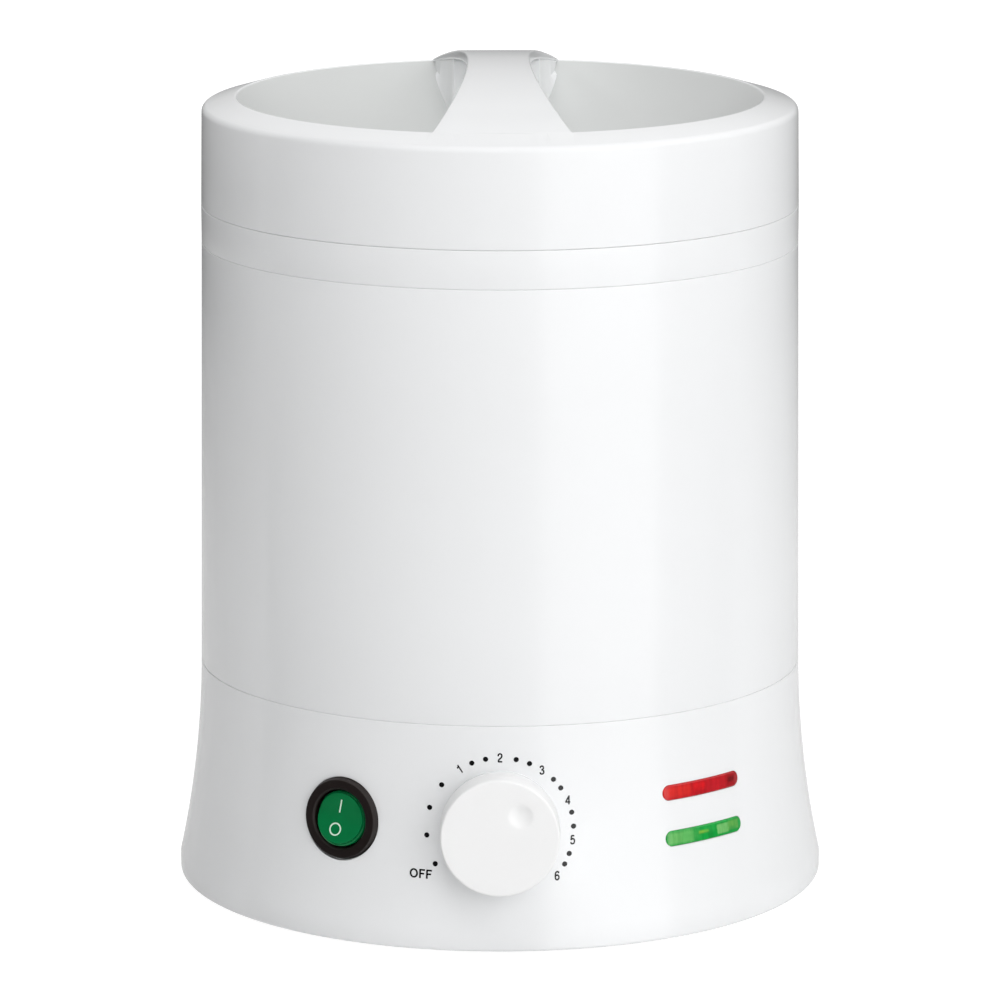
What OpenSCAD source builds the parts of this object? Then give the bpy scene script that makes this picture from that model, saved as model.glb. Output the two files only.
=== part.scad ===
// Electric wax warmer: a heated body on a flared base, a lift-out pot, and a lid with a strap handle.
// The origin is the middle of the surface it stands on, the front faces -Y, and lengths are in mm.

/* [Housing] */
// Height of the housing's lower edge above the bench
foot_gap = 2; // [1.5:0.5:4]
// Outer radius of the base at its lower edge
base_bottom_r = 98.4; // [97:0.2:104]
// Outer radius at the seam between base and body
base_top_r = 91.4; // [91:0.1:94]
// Height of the seam between base and body
base_seam_z = 67.3; // [66:0.1:74]
// Radius of the hollow curve that flares the base
flare_curve_r = 300; // [220:10:600]
// Outer radius at the top of the body, the collar and the lid
body_top_r = 90; // [89.5:0.1:92]
// Height of the seam between body and collar
collar_seam_z = 196; // [190:1:220]
// Height of the collar ring
collar_h = 11.2; // [9:0.1:16]
// Wall thickness of base and body
shell_wall = 2.8; // [2.2:0.1:3.2]
// Rounding under the base's lower edge
base_edge_round = 4; // [3:0.2:5]
// Chamfer on each side of a seam
seam_chamfer = 0.35; // [0.2:0.05:0.6]
// Gap between the collar and the lid's lower edge
lid_seam_gap = 0.3; // [0.2:0.05:0.5]

/* [Lid] */
// Height of the lid's wall, from the seam to its rounded shoulder
lid_wall_h = 28; // [27:1:40]
// Wall thickness of the lid
lid_wall = 2.5; // [2:0.1:3]
// Rounding of the lid's shoulder
lid_round = 2; // [1:0.25:3]
// Width of the rim around the dished top
rim_w = 11; // [8:0.5:14]
// Height that the rim rises from the shoulder to its crest
rim_rise = 2.1; // [1:0.1:3]
// Depth of the dished top below the crest
dish_depth = 25.3; // [20:0.1:26.5]
// Height of the strap handle's crest above the rim
strap_rise = 11; // [8:0.5:16]
// Thickness of the strap at its middle
strap_thick = 3.8; // [3:0.1:5]
// Half width of the strap at its waist
strap_waist = 9.4; // [8:0.1:12]
// Half width of the strap where it meets the rim
strap_foot = 19.7; // [16:0.1:24]
// How sharply the strap widens towards the rim
strap_flare_power = 2.4; // [1.5:0.1:4]
// Half length of the finger opening under the strap
finger_half = 50; // [40:1:56]
// Thickness of the inner cover that closes the lid from below
liner_thick = 2; // [1.5:0.1:3]
// Depth that the inner cover's locating ring reaches into the collar
liner_ring_h = 5.5; // [4:0.5:6]

/* [Pot and well] */
// Gap between the pot's flange and the collar around it
pot_flange_gap = 4.6; // [3.6:0.5:5.6]
// Width of the pot's flange around its wall
pot_flange_w = 15.5; // [15:0.5:20]
// Wall thickness of the pot
pot_wall = 1.5; // [1:0.1:2]
// Radial gap between pot and heated well
pot_gap = 2; // [1:0.1:3]
// Wall thickness of the heated well
well_wall = 1.5; // [1:0.1:2]
// Gap between the pot and the well that carries it
pot_seat_gap = 0.3; // [0.2:0.05:0.5]
// Distance of the bail handle's bow from the edge of the pot's flange
bail_inset = 7; // [6:0.5:8]
// Radius of the bail handle's wire
bail_wire_r = 2; // [1.5:0.1:2.2]
// Height of the spacers under the well
spacer_h = 19.7; // [17:0.5:24]
// Height of the heater band
heater_h = 50; // [30:5:70]
// Thickness of the heater band
heater_thick = 2.4; // [1.5:0.1:2.8]
// Thickness of the insulation around the well
insulation_thick = 6.5; // [4:0.5:7]

/* [Controls] */
// Height of the thermostat knob's axis
knob_z = 37.4; // [36:0.2:40]
// Radius of the knob at its back edge
knob_r = 17.6; // [16:0.1:19]
// Depth of the knob from back edge to face
knob_depth = 9.5; // [8:0.5:14]
// Radius of the thermostat shaft
shaft_r = 3; // [2.5:0.25:3.5]
// Turn of the rocker switch around the body, from the front
switch_turn = -30; // [-34:0.1:-28]
// Height of the rocker switch
switch_z = 36.8; // [36:0.2:40]
// Radius of the switch's bezel
bezel_r = 12.3; // [12:0.1:14]
// Thickness of the switch's bezel
bezel_thick = 2; // [1.5:0.1:3]
// Radius of the rocker
rocker_r = 8.3; // [7.5:0.1:8.8]
// Tilt of the rocker to each side of its middle
rocker_tilt = 8; // [6:0.5:9]
// Turn of the switch in its own hole
switch_roll = 9; // [0:1:12]
// Turn of the indicator windows around the body, from the front
window_turn = 40.4; // [38:0.2:44]
// Height of the red window
red_window_z = 43.8; // [43:0.2:47]
// Height of the green window
green_window_z = 30.2; // [28:0.2:33]
// Length of each window
window_len = 30; // [24:0.5:32]
// Height of each window
window_h = 4.6; // [4:0.1:6]

/* [Inlet and fastenings] */
// Width of the mains inlet's flange
inlet_flange_w = 50; // [48:1:52]
// Height of the mains inlet's flange
inlet_flange_h = 22.5; // [22:0.5:26]
// Spacing of the inlet's two screws
inlet_screw_gap = 40; // [38:0.5:42]
// Distance of the rubber feet and the cover's screws from the base's lower edge
foot_inset = 16.4; // [14.4:1:22.4]
// Radius of a rubber foot
foot_r = 8; // [6:0.5:9]
// Radius of the small screws
screw_r = 1.5; // [1.2:0.1:1.7]
// Clearance of a screw in its thread or of a shaft in its bore
running_gap = 0.05; // [0.03:0.01:0.08]
// Clearance between parts that drop into each other
drop_gap = 0.3; // [0.2:0.05:0.5]

/* [Hidden] */
$fn = 96;
over = 1;
// Long enough to pass through any wall
through = 30;

// The base's outer curve: an arc through its lower and upper ends
arc_steps = 14;
flare_top = [base_top_r, base_seam_z];
flare_low = [base_bottom_r, foot_gap + base_edge_round];
flare_chord = flare_low - flare_top;
flare_across = [-flare_chord[1], flare_chord[0]] / norm(flare_chord);
flare_sagitta = sqrt(pow(flare_curve_r, 2) - pow(norm(flare_chord) / 2, 2));
flare_centre = (flare_top + flare_low) / 2 + flare_across * flare_sagitta;

// Heights and radii that the housing's own parts share
cover_low_z = foot_gap + 1;
cover_thick = 3;
cover_top_z = cover_low_z + cover_thick;
cover_seat_r = base_bottom_r - base_edge_round - 0.4;
cover_step_z = cover_top_z + 2;
ledge_thick = 3;
ledge_drop = 4;
ledge_z = base_seam_z - ledge_drop;
ledge_under_z = ledge_z - ledge_thick;
spigot_h = 6;
spigot_wall = 2.2;
body_inner_low_r = base_top_r - shell_wall;
body_inner_top_r = body_top_r - shell_wall;
spigot_r = min(body_inner_low_r, body_inner_top_r + 1) - drop_gap;
body_boss_r = 3.8;
body_boss_circle_r = spigot_r - spigot_wall - body_boss_r - 0.5;
collar_top_z = collar_seam_z + collar_h;
collar_spigot_h = 6;
collar_lip_drop = 3;
collar_spigot_r = body_inner_top_r - 0.2;
collar_inner_r = collar_spigot_r - 2.4;
lip_top_z = collar_seam_z - collar_lip_drop;

// The well, from the heat shield up to the collar's lip
shield_thick = 1;
shield_gap = 2.6;
shield_lap = 7;
shield_r = body_boss_circle_r - body_boss_r - shield_gap;
ledge_in_r = shield_r - shield_lap;
shield_top_z = ledge_z + shield_thick;
well_under_z = shield_top_z + spacer_h;
pot_flange_r = collar_inner_r - pot_flange_gap;
pot_outer_r = pot_flange_r - pot_flange_w;
pot_inner_r = pot_outer_r - pot_wall;
well_inner_r = pot_outer_r + pot_gap;
well_outer_r = well_inner_r + well_wall;
well_floor_z = well_under_z + well_wall;
well_flange_top_z = lip_top_z + well_wall;
lip_in_r = well_outer_r + 4;
stud_circle_r = 40;
stud_r = 2;
stud_drop = 6;
spacer_r = 4;
stud_angles = [90, 210, 330];
heater_outer_r = well_outer_r + running_gap + heater_thick;
heater_low_z = well_under_z + 11;
heater_split = 8;
clamp_ear_h = 10;
clamp_ear_reach = 7;
clamp_ear_thick = 1.5;
insulation_slot = 18;
insulation_inner_r = heater_outer_r + drop_gap;
insulation_low_z = well_under_z + 8;
insulation_top_z = lip_top_z - 8;

// The pot, its ears and its bail
pot_low_z = well_floor_z + pot_seat_gap;
pot_flange_z = well_flange_top_z + pot_seat_gap;
pot_flange_thick = 1.2;
pot_flange_top_z = pot_flange_z + pot_flange_thick;
pot_corner_r = 6;
pot_curl_wall = 1.4;
pot_curl_h = 1.2;
ear_thick = 1.2;
ear_base_top_z = pot_flange_top_z + ear_thick;
bail_axis_z = ear_base_top_z + bail_wire_r + 0.5;
bail_bow_r = pot_flange_r - bail_inset;
ear_x = bail_bow_r + bail_wire_r + 1;
ear_half_w = 5;
ear_rim = 1.4;
rivet_r = 1.4;
rivet_h = 0.8;
bail_end_x = ear_x + ear_thick + rivet_h;

// The lid, with its dished top as part of a ball
lid_low_z = collar_top_z + lid_seam_gap;
lid_shoulder_z = lid_low_z + lid_wall_h;
lid_shoulder_r = body_top_r - 0.4;
rim_top_z = lid_shoulder_z + lid_round + rim_rise;
rim_inner_r = body_top_r - rim_w;
dish_low_z = rim_top_z - dish_depth;
dish_r = (pow(rim_inner_r, 2) + pow(dish_depth, 2)) / (2 * dish_depth);
dish_centre_z = dish_low_z + dish_r;
lid_skirt_inner_r = body_top_r - lid_wall;
liner_low_z = lid_low_z + 0.5;
liner_r = lid_skirt_inner_r - drop_gap;
liner_ring_r = collar_inner_r - 0.4;
liner_ring_wall = 1.8;
lid_boss_circle_r = 55;
lid_boss_r = 4;
lid_boss_angles = [30, 150, 270];
strap_end_y = rim_inner_r + 0.6;
strap_reach_y = rim_inner_r + 3;
strap_top_r = (pow(strap_end_y, 2) + pow(strap_rise, 2)) / (2 * strap_rise);
strap_top_z = rim_top_z + strap_rise;
opening_end_y = rim_inner_r - 1.5;
opening_rise = strap_rise - strap_thick + 0.4;
opening_low_z = rim_top_z - 0.3;
opening_r = (pow(opening_end_y, 2) + pow(opening_rise, 2)) / (2 * opening_rise);
leg_shelf_y = finger_half + 4;
leg_shelf_z = rim_top_z - 3;

// The knob, its shaft and the thermostat behind the front wall
knob_back_y = max(flare_r(knob_z - knob_r), flare_r(knob_z)) + 0.5;
knob_face_y = knob_back_y + knob_depth;
knob_wall = 2;
knob_taper = 0.45;
knob_edge_round = 1.2;
knob_hub_r = shaft_r + 3.5;
knob_dimple_r = 3.4;
knob_dimple_way = 9;
knob_dimple_turn = 42;
knob_cavity_y = knob_face_y - 2.6;
front_wall_y = flare_r(knob_z);
thermostat_pad_r = 19;
thermostat_pad_depth = 5.8;
thermostat_pad_y = front_wall_y - thermostat_pad_depth;
thermostat_plate_thick = 1.2;
thermostat_body_r = 13.8;
thermostat_depth = 22;
thermostat_plate_w = 14;
thermostat_nose_h = 4;
tab_thick = 0.8;
tab_w = 6.3;
tab_len = 8;
thermostat_tab_x = 6;
thermostat_back_y = thermostat_pad_y - thermostat_plate_thick - thermostat_depth;
thermostat_screw_x = 13;
thermostat_screw_len = 8;
shaft_hole_r = shaft_r + 1.5;
shaft_tail = 10;
shaft_rear_y = thermostat_pad_y - shaft_tail;
shaft_front_y = knob_cavity_y - 0.6;
shaft_flat_len = 6;
knob_seat_r = knob_r - 0.8;
knob_seat_gap = 0.4;
knob_dimple_lift = 5;
knob_clip_w = 2.5;

// The rocker switch, in a frame whose Z axis points out of its panel
switch_panel_tilt = 3.5;
switch_seat = flare_r(switch_z) - 0.8;
switch_barrel_r = rocker_r + 1.5;
switch_barrel_len = 16;
rocker_pivot_h = bezel_thick - 1.5;
rocker_open_r = rocker_r + 0.4;
rocker_ball_r = rocker_r + 0.25;
rocker_pin_r = 1;
rocker_crown = 1.2;
rocker_low = 5;
switch_well_depth = 8;
switch_slot_h = 5;
switch_lamp_len = 5;
switch_tab_places = [-5, 0, 5];

// The indicator windows and the lamp board behind them
lens_proud = 0.3;
lens_depth = 2.6;
lens_gap = 0.15;
board_thick = 1.6;
board_w = 34;
board_h = 24;
board_z = (red_window_z + green_window_z) / 2;
board_way = flare_r(board_z) - shell_wall - 10;
board_post_r = 3;
board_post_x = 14;
board_screw_len = 7;
lamp_x = 7;
lead_x = 5;
lamp_r = 1.6;
lamp_len = 7;

// The mains inlet in the rear wall
inlet_z = knob_z;
inlet_face_thick = 2.5;
inlet_seat_y = flare_r(inlet_z) - 2.8;
inlet_body_w = 27;
inlet_body_h = 19.5;
inlet_body_depth = 20;
inlet_socket_w = 24;
inlet_socket_h = 16.4;
inlet_socket_depth = 17;
inlet_socket_chamfer = 5;
inlet_pin_len = 12;
inlet_pin_w = 2;
inlet_pin_h = 4;
inlet_tail_len = 8;
inlet_pad_depth = 5.5;
inlet_pad_margin = [1.5, 2];
inlet_pin_places = [[-7, -2], [7, -2], [0, 2.5]];

// Screws, bosses and the terminal block
head_r = 2.9;
head_h = 1.8;
head_gap = 0.3;
slot_w = 0.7;
slot_depth = 0.8;
hole_gap = 0.2;
small_nut = [5.5, 2.4];
stud_nut = [7, 3.2];
cover_screw_len = 12;
body_screw_len = 13;
lid_screw_len = 9;
cover_boss_r = 4;
foot_circle_r = base_bottom_r - foot_inset;
cover_boss_circle_r = foot_circle_r;
cover_boss_angles = [20, 160, 200, 340];
foot_angles = [45, 135, 225, 315];
foot_plug_r = 2.9;
foot_taper = 0.6;
foot_barb = 0.9;
foot_barb_h = 2;
body_boss_angles = [30, 150, 270];
body_boss_h = 20;
body_rib_w = 3;
body_rib_low_z = base_seam_z + spigot_h + 0.5;
body_rib_h = ledge_z + body_boss_h - body_rib_low_z;
shield_screw_circle_r = ledge_in_r + shield_lap / 2;
shield_screw_angles = [0, 120, 240];
vent_rows = 4;
vent_pitch = 8;
vent_w = 3;
vent_len = 60;
block_y = 34;
block_size = [32, 14, 13];
block_post_h = 4;
block_post_r = 2.5;
block_low_z = cover_top_z + block_post_h;
block_ways = [-10, 0, 10];
block_bore_h = 5;
block_screw_r = 2.2;
block_screw_h = 4;

// The sensor and the thermal fuse that are clipped under the well, and the holes for their leads
bulb_r = 2.5;
bulb_len = 50;
bulb_y = -12;
bulb_z = well_under_z - bulb_r - running_gap;
clip_thick = 0.8;
clip_foot = 5;
bulb_clip_x = 14;
bulb_clip_w = 5;
fuse_len = 16;
fuse_y = 12;
fuse_clip_w = 6;
fuse_lead_r = 0.5;
fuse_lead_len = 8;
lead_hole_r = 4;
lead_holes = [[22, -46], [-24, -34], [-28, 40]];

// The wiring, whose routes are lists of points
wire_r = 1.1;
capillary_r = 0.8;
tail_gap = 0.25;
earth_angle = 90;
tag_thick = 0.8;
tag_r = 4;
tag_len = 9;
inlet_tail_y = inlet_seat_y - inlet_body_depth - inlet_tail_len - tail_gap;
tab_tail_y = -thermostat_back_y + tab_len + tail_gap;
block_wire_z = block_low_z + block_bore_h;
block_rear_y = block_y + block_size[1] / 2;
block_front_y = block_y - block_size[1] / 2;
tab_wire_step = 1.6;
heater_wire_r = well_outer_r + running_gap + heater_thick / 2;
heater_tail_z = heater_low_z - tail_gap;
capillary_route = [
    [8, -thermostat_back_y + tail_gap, knob_z + 8], [8, -thermostat_back_y + 5, knob_z + 8],
    [11, -52, knob_z + 10], [18, -48, 52], [22, -46, ledge_z], [24, -36, 71], [28, -23, 77.5],
    [30.5, -14.5, 80.8], [28.5, bulb_y, bulb_z], [bulb_len / 2 + tail_gap, bulb_y, bulb_z]
];
inlet_to_live_way = [
    [inlet_pin_places[0][0], inlet_tail_y, inlet_z - 2], [-7.5, inlet_tail_y - 6, inlet_z - 3.5],
    [-9, inlet_tail_y - 12, inlet_z - 12], [block_ways[0], block_rear_y + 6, block_wire_z + 1],
    [block_ways[0], block_rear_y - 1, block_wire_z]
];
live_way_to_switch = [
    [block_ways[0], block_front_y + 1, block_wire_z], [-10.5, block_front_y - 6, block_wire_z + 0.5],
    [-22, 0, 24], [-32, -24, 30], switch_tail(switch_tab_places[0], 0, 12),
    switch_tail(switch_tab_places[0], 0, tail_gap)
];
switch_to_thermostat = [
    switch_tail(switch_tab_places[1], tab_wire_step, tail_gap),
    switch_tail(switch_tab_places[1], tab_wire_step, 10), [-17, -45, 38], [-8, -46, knob_z],
    [-thermostat_tab_x, tab_tail_y + 5, knob_z], [-thermostat_tab_x, tab_tail_y, knob_z]
];
switch_to_lamps = [
    switch_tail(switch_tab_places[1], -tab_wire_step, tail_gap),
    switch_tail(switch_tab_places[1], -tab_wire_step, 10), [-12, -38, 27], [10, -36, 25], [28, -42, 29],
    board_tail(-lead_x, 12), board_tail(-lead_x, tail_gap)
];
thermostat_to_fuse = [
    [thermostat_tab_x, tab_tail_y, knob_z], [thermostat_tab_x, tab_tail_y + 8, knob_z + 1],
    [-4, -41, 48], [-20, -35, 56], [-24, -34, ledge_z], [-22, -22, 74], [-21, 4, bulb_z],
    [-fuse_len / 2 - fuse_lead_len - 4, fuse_y, bulb_z],
    [-fuse_len / 2 - fuse_lead_len - tail_gap, fuse_y, bulb_z]
];
fuse_to_heater = [
    [fuse_len / 2 + fuse_lead_len + tail_gap, fuse_y, bulb_z], [27, 13, 80.5],
    around(110, well_outer_r - 18, 80),
    around(110, well_outer_r - 1.5, well_under_z - 0.7), around(110, heater_wire_r, well_under_z + 6),
    around(110, heater_wire_r, heater_tail_z)
];
inlet_to_neutral_way = [
    [inlet_pin_places[1][0], inlet_tail_y, inlet_z - 3.2], [7.5, inlet_tail_y - 6, inlet_z - 5],
    [9, inlet_tail_y - 12, inlet_z - 13], [block_ways[2], block_rear_y + 6, block_wire_z + 1],
    [block_ways[2], block_rear_y - 1, block_wire_z]
];
inlet_to_lamp_way = [
    [inlet_pin_places[1][0], inlet_tail_y, inlet_z - 0.8], [6, inlet_tail_y - 7, inlet_z - 1.5],
    [2.5, inlet_tail_y - 13, inlet_z - 10], [block_ways[1], block_rear_y + 6, block_wire_z + 2],
    [block_ways[1], block_rear_y - 1, block_wire_z]
];
neutral_way_to_heater = [
    [block_ways[2], block_front_y + 1, block_wire_z], [10, block_front_y - 5, block_wire_z + 0.5],
    [5, 16, 22], [-4, 18, 34], [-24, 34, 50], [-28, 40, ledge_z], [-32, 41, 73],
    around(230, well_outer_r - 10, 80),
    around(230, well_outer_r - 1.5, well_under_z - 0.7), around(230, heater_wire_r, well_under_z + 6),
    around(230, heater_wire_r, heater_tail_z)
];
lamp_way_to_board = [
    [block_ways[1], block_front_y + 1, block_wire_z], [0.5, block_front_y - 6, block_wire_z + 0.5],
    [14, 0, 22], [30, -22, 30], board_tail(lead_x, 14), board_tail(lead_x, tail_gap)
];
inlet_to_earth_tag = [
    [0, inlet_tail_y, inlet_z + 2.5], [0, inlet_tail_y - 7, inlet_z + 3.5], [0, 49, 50],
    [0, stud_circle_r + tag_len - 3, ledge_z - tag_thick - 6],
    [0, stud_circle_r + tag_len - 3, ledge_z - tag_thick - tail_gap]
];

function flare_r(z) = flare_centre[0] - sqrt(pow(flare_curve_r, 2) - pow(z - flare_centre[1], 2));

// Points down or up the flare between two heights, moved in by inset
function flare_points(z_from, z_to, inset) = [
    for (i = [0:arc_steps]) let (z = z_from + (z_to - z_from) * i / arc_steps) [flare_r(z) - inset, z]
];

// Points on an arc about a centre
function arc_points(centre, r, a_from, a_to, steps) = [
    for (i = [0:steps]) let (a = a_from + (a_to - a_from) * i / steps)
        centre + r * [cos(a), sin(a)]
];

// Points along the dish, or along its underside when inset is more than 0
function dish_points(r_from, r_to, inset) = [
    for (i = [0:arc_steps]) let (r = r_from + (r_to - r_from) * i / arc_steps)
        [r, dish_centre_z - sqrt(pow(dish_r + inset, 2) - pow(r, 2))]
];

// A point at a turn around the axis, way from it and at height z
function around(turn, way, z) = [way * sin(turn), -way * cos(turn), z];

// Where a point of a tilted panel's frame lies
function panel_point(turn, z, way, tilt, p) =
    let (y = p[1] * sin(tilt) - p[2] * cos(tilt) - way)
        [p[0] * cos(turn) - y * sin(turn), p[0] * sin(turn) + y * cos(turn),
            z + p[1] * cos(tilt) + p[2] * sin(tilt)];

// The end of a wire at a tab of the switch, back from the tab's tip
function switch_tail(x, y, back) = panel_point(switch_turn, switch_z, switch_seat, switch_panel_tilt,
    [x * cos(switch_roll) + y * sin(switch_roll), y * cos(switch_roll) - x * sin(switch_roll),
        -switch_barrel_len - tab_len - back]);

// The end of a wire at the back of the lamp board
function board_tail(x, back) = panel_point(window_turn, board_z, board_way, 0, [x, 0, -back]);

// Half width of the strap at a distance from the middle
function strap_half(y) = strap_waist
    + (strap_foot - strap_waist) * pow(min(abs(y), strap_end_y) / strap_end_y, strap_flare_power);

// Outer solid of the base, moved in by inset
module flare_body(inset, z_low, z_top) {
    rotate_extrude()
        polygon(concat([[0, z_low], [0, z_top]], flare_points(z_top, z_low, inset)));
}

// A frame on the wall: Z points out of the panel, Y up it, and the origin lies way from the axis
module on_panel(turn, z, way, tilt = 0) {
    rotate([0, 0, turn])
        translate([0, -way, z])
            rotate([90 - tilt, 0, 0])
                children();
}

module at_angles(angles, way) {
    for (a = angles)
        rotate([0, 0, a])
            translate([way, 0, 0])
                children();
}

module stadium(length, width) {
    for (side = [-1, 1])
        translate([side * (length - width) / 2, 0])
            circle(d = width);
    square([length - width, width], center = true);
}

module tube(outer_r, inner_r, h) {
    difference() {
        cylinder(r = outer_r, h = h);
        translate([0, 0, -over])
            cylinder(r = inner_r, h = h + 2 * over);
    }
}

// A pan-head screw with its head above z = 0 and its shank below
module pan_screw(shank, length, head = head_r, head_height = head_h) {
    difference() {
        cylinder(r = head, h = head_height);
        for (turn = [0, 90])
            rotate([0, 0, turn])
                translate([0, 0, head_height])
                    cube([head * 1.2, slot_w, 2 * slot_depth], center = true);
    }
    translate([0, 0, -length])
        cylinder(r = shank, h = length);
}

// A nut whose size gives its width across flats and its height
module hex_nut(bore, size) {
    difference() {
        cylinder(d = size[0] / cos(30), h = size[1], $fn = 6);
        translate([0, 0, -over])
            cylinder(r = bore, h = size[1] + 2 * over);
    }
}

// Base housing

module base_profile() {
    polygon(concat(
        [[base_top_r - seam_chamfer, base_seam_z]],
        flare_points(base_seam_z - seam_chamfer, foot_gap + base_edge_round, 0),
        arc_points([base_bottom_r - base_edge_round, foot_gap + base_edge_round], base_edge_round,
            -12, -90, 8),
        [[cover_seat_r, foot_gap], [cover_seat_r, cover_step_z]],
        flare_points(cover_step_z, ledge_under_z, shell_wall),
        [
            [ledge_in_r, ledge_under_z], [ledge_in_r, ledge_z],
            [spigot_r - spigot_wall, ledge_z], [spigot_r - spigot_wall, base_seam_z + spigot_h],
            [spigot_r, base_seam_z + spigot_h], [spigot_r, base_seam_z]
        ]
    ));
}

module cover_bosses() {
    intersection() {
        at_angles(cover_boss_angles, cover_boss_circle_r) {
            translate([0, 0, cover_top_z])
                cylinder(r = cover_boss_r, h = ledge_z - over - cover_top_z);
            translate([0, -body_rib_w / 2, cover_step_z])
                cube([base_bottom_r - cover_boss_circle_r, body_rib_w, ledge_z - over - cover_step_z]);
        }
        flare_body(shell_wall / 2, foot_gap, base_seam_z);
    }
}

module inlet_pad() {
    half_w = inlet_flange_w / 2 + inlet_pad_margin[0];
    half_h = inlet_flange_h / 2 + inlet_pad_margin[1];
    translate([-half_w, inlet_seat_y - inlet_pad_depth, inlet_z - half_h])
        cube([2 * half_w, inlet_pad_depth, 2 * half_h]);
}

module inlet_cuts() {
    half_w = inlet_flange_w / 2 + drop_gap;
    half_h = inlet_flange_h / 2 + drop_gap;
    translate([-half_w, inlet_seat_y, inlet_z - half_h])
        cube([2 * half_w, through, 2 * half_h]);
    translate([-inlet_body_w / 2 - lens_gap, inlet_seat_y - through / 2,
            inlet_z - inlet_body_h / 2 - lens_gap])
        cube([inlet_body_w + 2 * lens_gap, through, inlet_body_h + 2 * lens_gap]);
    for (side = [-1, 1])
        translate([side * inlet_screw_gap / 2, inlet_seat_y + over, inlet_z])
            rotate([90, 0, 0])
                cylinder(r = screw_r + hole_gap, h = inlet_pad_depth + 2 * over);
}

module thermostat_pad() {
    intersection() {
        translate([0, -thermostat_pad_y, knob_z])
            rotate([90, 0, 0])
                cylinder(r = thermostat_pad_r, h = through);
        flare_body(shell_wall / 2, foot_gap, base_seam_z);
    }
}

// The round seat behind the knob
module knob_seat() {
    translate([0, -thermostat_pad_y, knob_z])
        rotate([90, 0, 0])
            cylinder(r = knob_seat_r, h = knob_back_y - knob_seat_gap - thermostat_pad_y);
}

module thermostat_cuts() {
    translate([0, -thermostat_pad_y + over, knob_z])
        rotate([90, 0, 0]) {
            cylinder(r = shaft_hole_r, h = through);
            for (side = [-1, 1])
                translate([side * thermostat_screw_x, 0, 0]) {
                    cylinder(r = screw_r + hole_gap, h = through);
                    translate([0, 0, over + thermostat_nose_h])
                        cylinder(r = head_r + head_gap, h = through);
                }
        }
}

module window_cut(z, gap) {
    rotate([0, 0, window_turn])
        translate([0, 0, z])
            rotate([90, 0, 0])
                linear_extrude(base_bottom_r + over)
                    stadium(window_len + 2 * gap, window_h + 2 * gap);
}

module board_posts() {
    intersection() {
        on_panel(window_turn, board_z, board_way + board_thick)
            for (side = [-1, 1])
                translate([side * board_post_x, 0, 0])
                    cylinder(r = board_post_r, h = through);
        flare_body(shell_wall / 2, foot_gap, base_seam_z);
    }
}

module base_housing() {
    color("white")
    difference() {
        union() {
            rotate_extrude()
                base_profile();
            cover_bosses();
            inlet_pad();
            thermostat_pad();
            knob_seat();
            board_posts();
        }
        inlet_cuts();
        thermostat_cuts();
        window_cut(red_window_z, lens_gap);
        window_cut(green_window_z, lens_gap);
        on_panel(switch_turn, switch_z, switch_seat, switch_panel_tilt) {
            cylinder(r = bezel_r + lens_gap, h = through);
            translate([0, 0, -through / 2])
                cylinder(r = switch_barrel_r + lens_gap, h = through);
        }
        on_panel(window_turn, board_z, board_way - over)
            for (side = [-1, 1])
                translate([side * board_post_x, 0, 0])
                    cylinder(r = screw_r, h = board_screw_len + 2 * over);
        at_angles(cover_boss_angles, cover_boss_circle_r)
            translate([0, 0, cover_top_z - over])
                cylinder(r = screw_r, h = cover_screw_len + 2 * over);
        at_angles(body_boss_angles, body_boss_circle_r)
            translate([0, 0, ledge_under_z - over])
                cylinder(r = screw_r + hole_gap, h = ledge_thick + 2 * over);
        at_angles(shield_screw_angles, shield_screw_circle_r)
            translate([0, 0, ledge_under_z - over])
                cylinder(r = screw_r, h = ledge_thick + 2 * over);
    }
}

module bottom_cover() {
    color("white")
    difference() {
        union() {
            translate([0, 0, cover_low_z])
                cylinder(r = cover_seat_r - drop_gap, h = cover_thick);
            for (side = [-1, 1])
                translate([side * (block_size[0] / 2 - block_post_r), block_y, cover_top_z])
                    cylinder(r = block_post_r, h = block_post_h);
        }
        at_angles(cover_boss_angles, cover_boss_circle_r) {
            translate([0, 0, cover_low_z - over])
                cylinder(r = screw_r + hole_gap, h = cover_thick + 2 * over);
            translate([0, 0, cover_low_z - over])
                cylinder(r = head_r + head_gap, h = over + head_h + hole_gap);
        }
        at_angles(foot_angles, foot_circle_r)
            translate([0, 0, cover_low_z - over])
                cylinder(r = foot_plug_r, h = cover_thick + 2 * over);
        for (row = [-vent_rows:vent_rows])
            translate([0, row * vent_pitch, cover_low_z - over])
                linear_extrude(cover_thick + 2 * over)
                    if (abs(row * vent_pitch - block_y) > block_size[1] / 2)
                        stadium(vent_len - 4 * abs(row), vent_w);
    }
}

module rubber_feet() {
    color("dimgray")
    at_angles(foot_angles, foot_circle_r) {
        cylinder(r1 = foot_r - foot_taper, r2 = foot_r, h = cover_low_z);
        cylinder(r = foot_plug_r - running_gap, h = cover_top_z);
        translate([0, 0, cover_top_z])
            cylinder(r1 = foot_plug_r + foot_barb, r2 = foot_plug_r - foot_taper, h = foot_barb_h);
    }
}

module cover_screws() {
    color("silver")
    at_angles(cover_boss_angles, cover_boss_circle_r)
        translate([0, 0, cover_low_z + head_h + hole_gap])
            rotate([180, 0, 0])
                pan_screw(screw_r - running_gap, cover_screw_len);
}

// Body and collar

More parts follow.
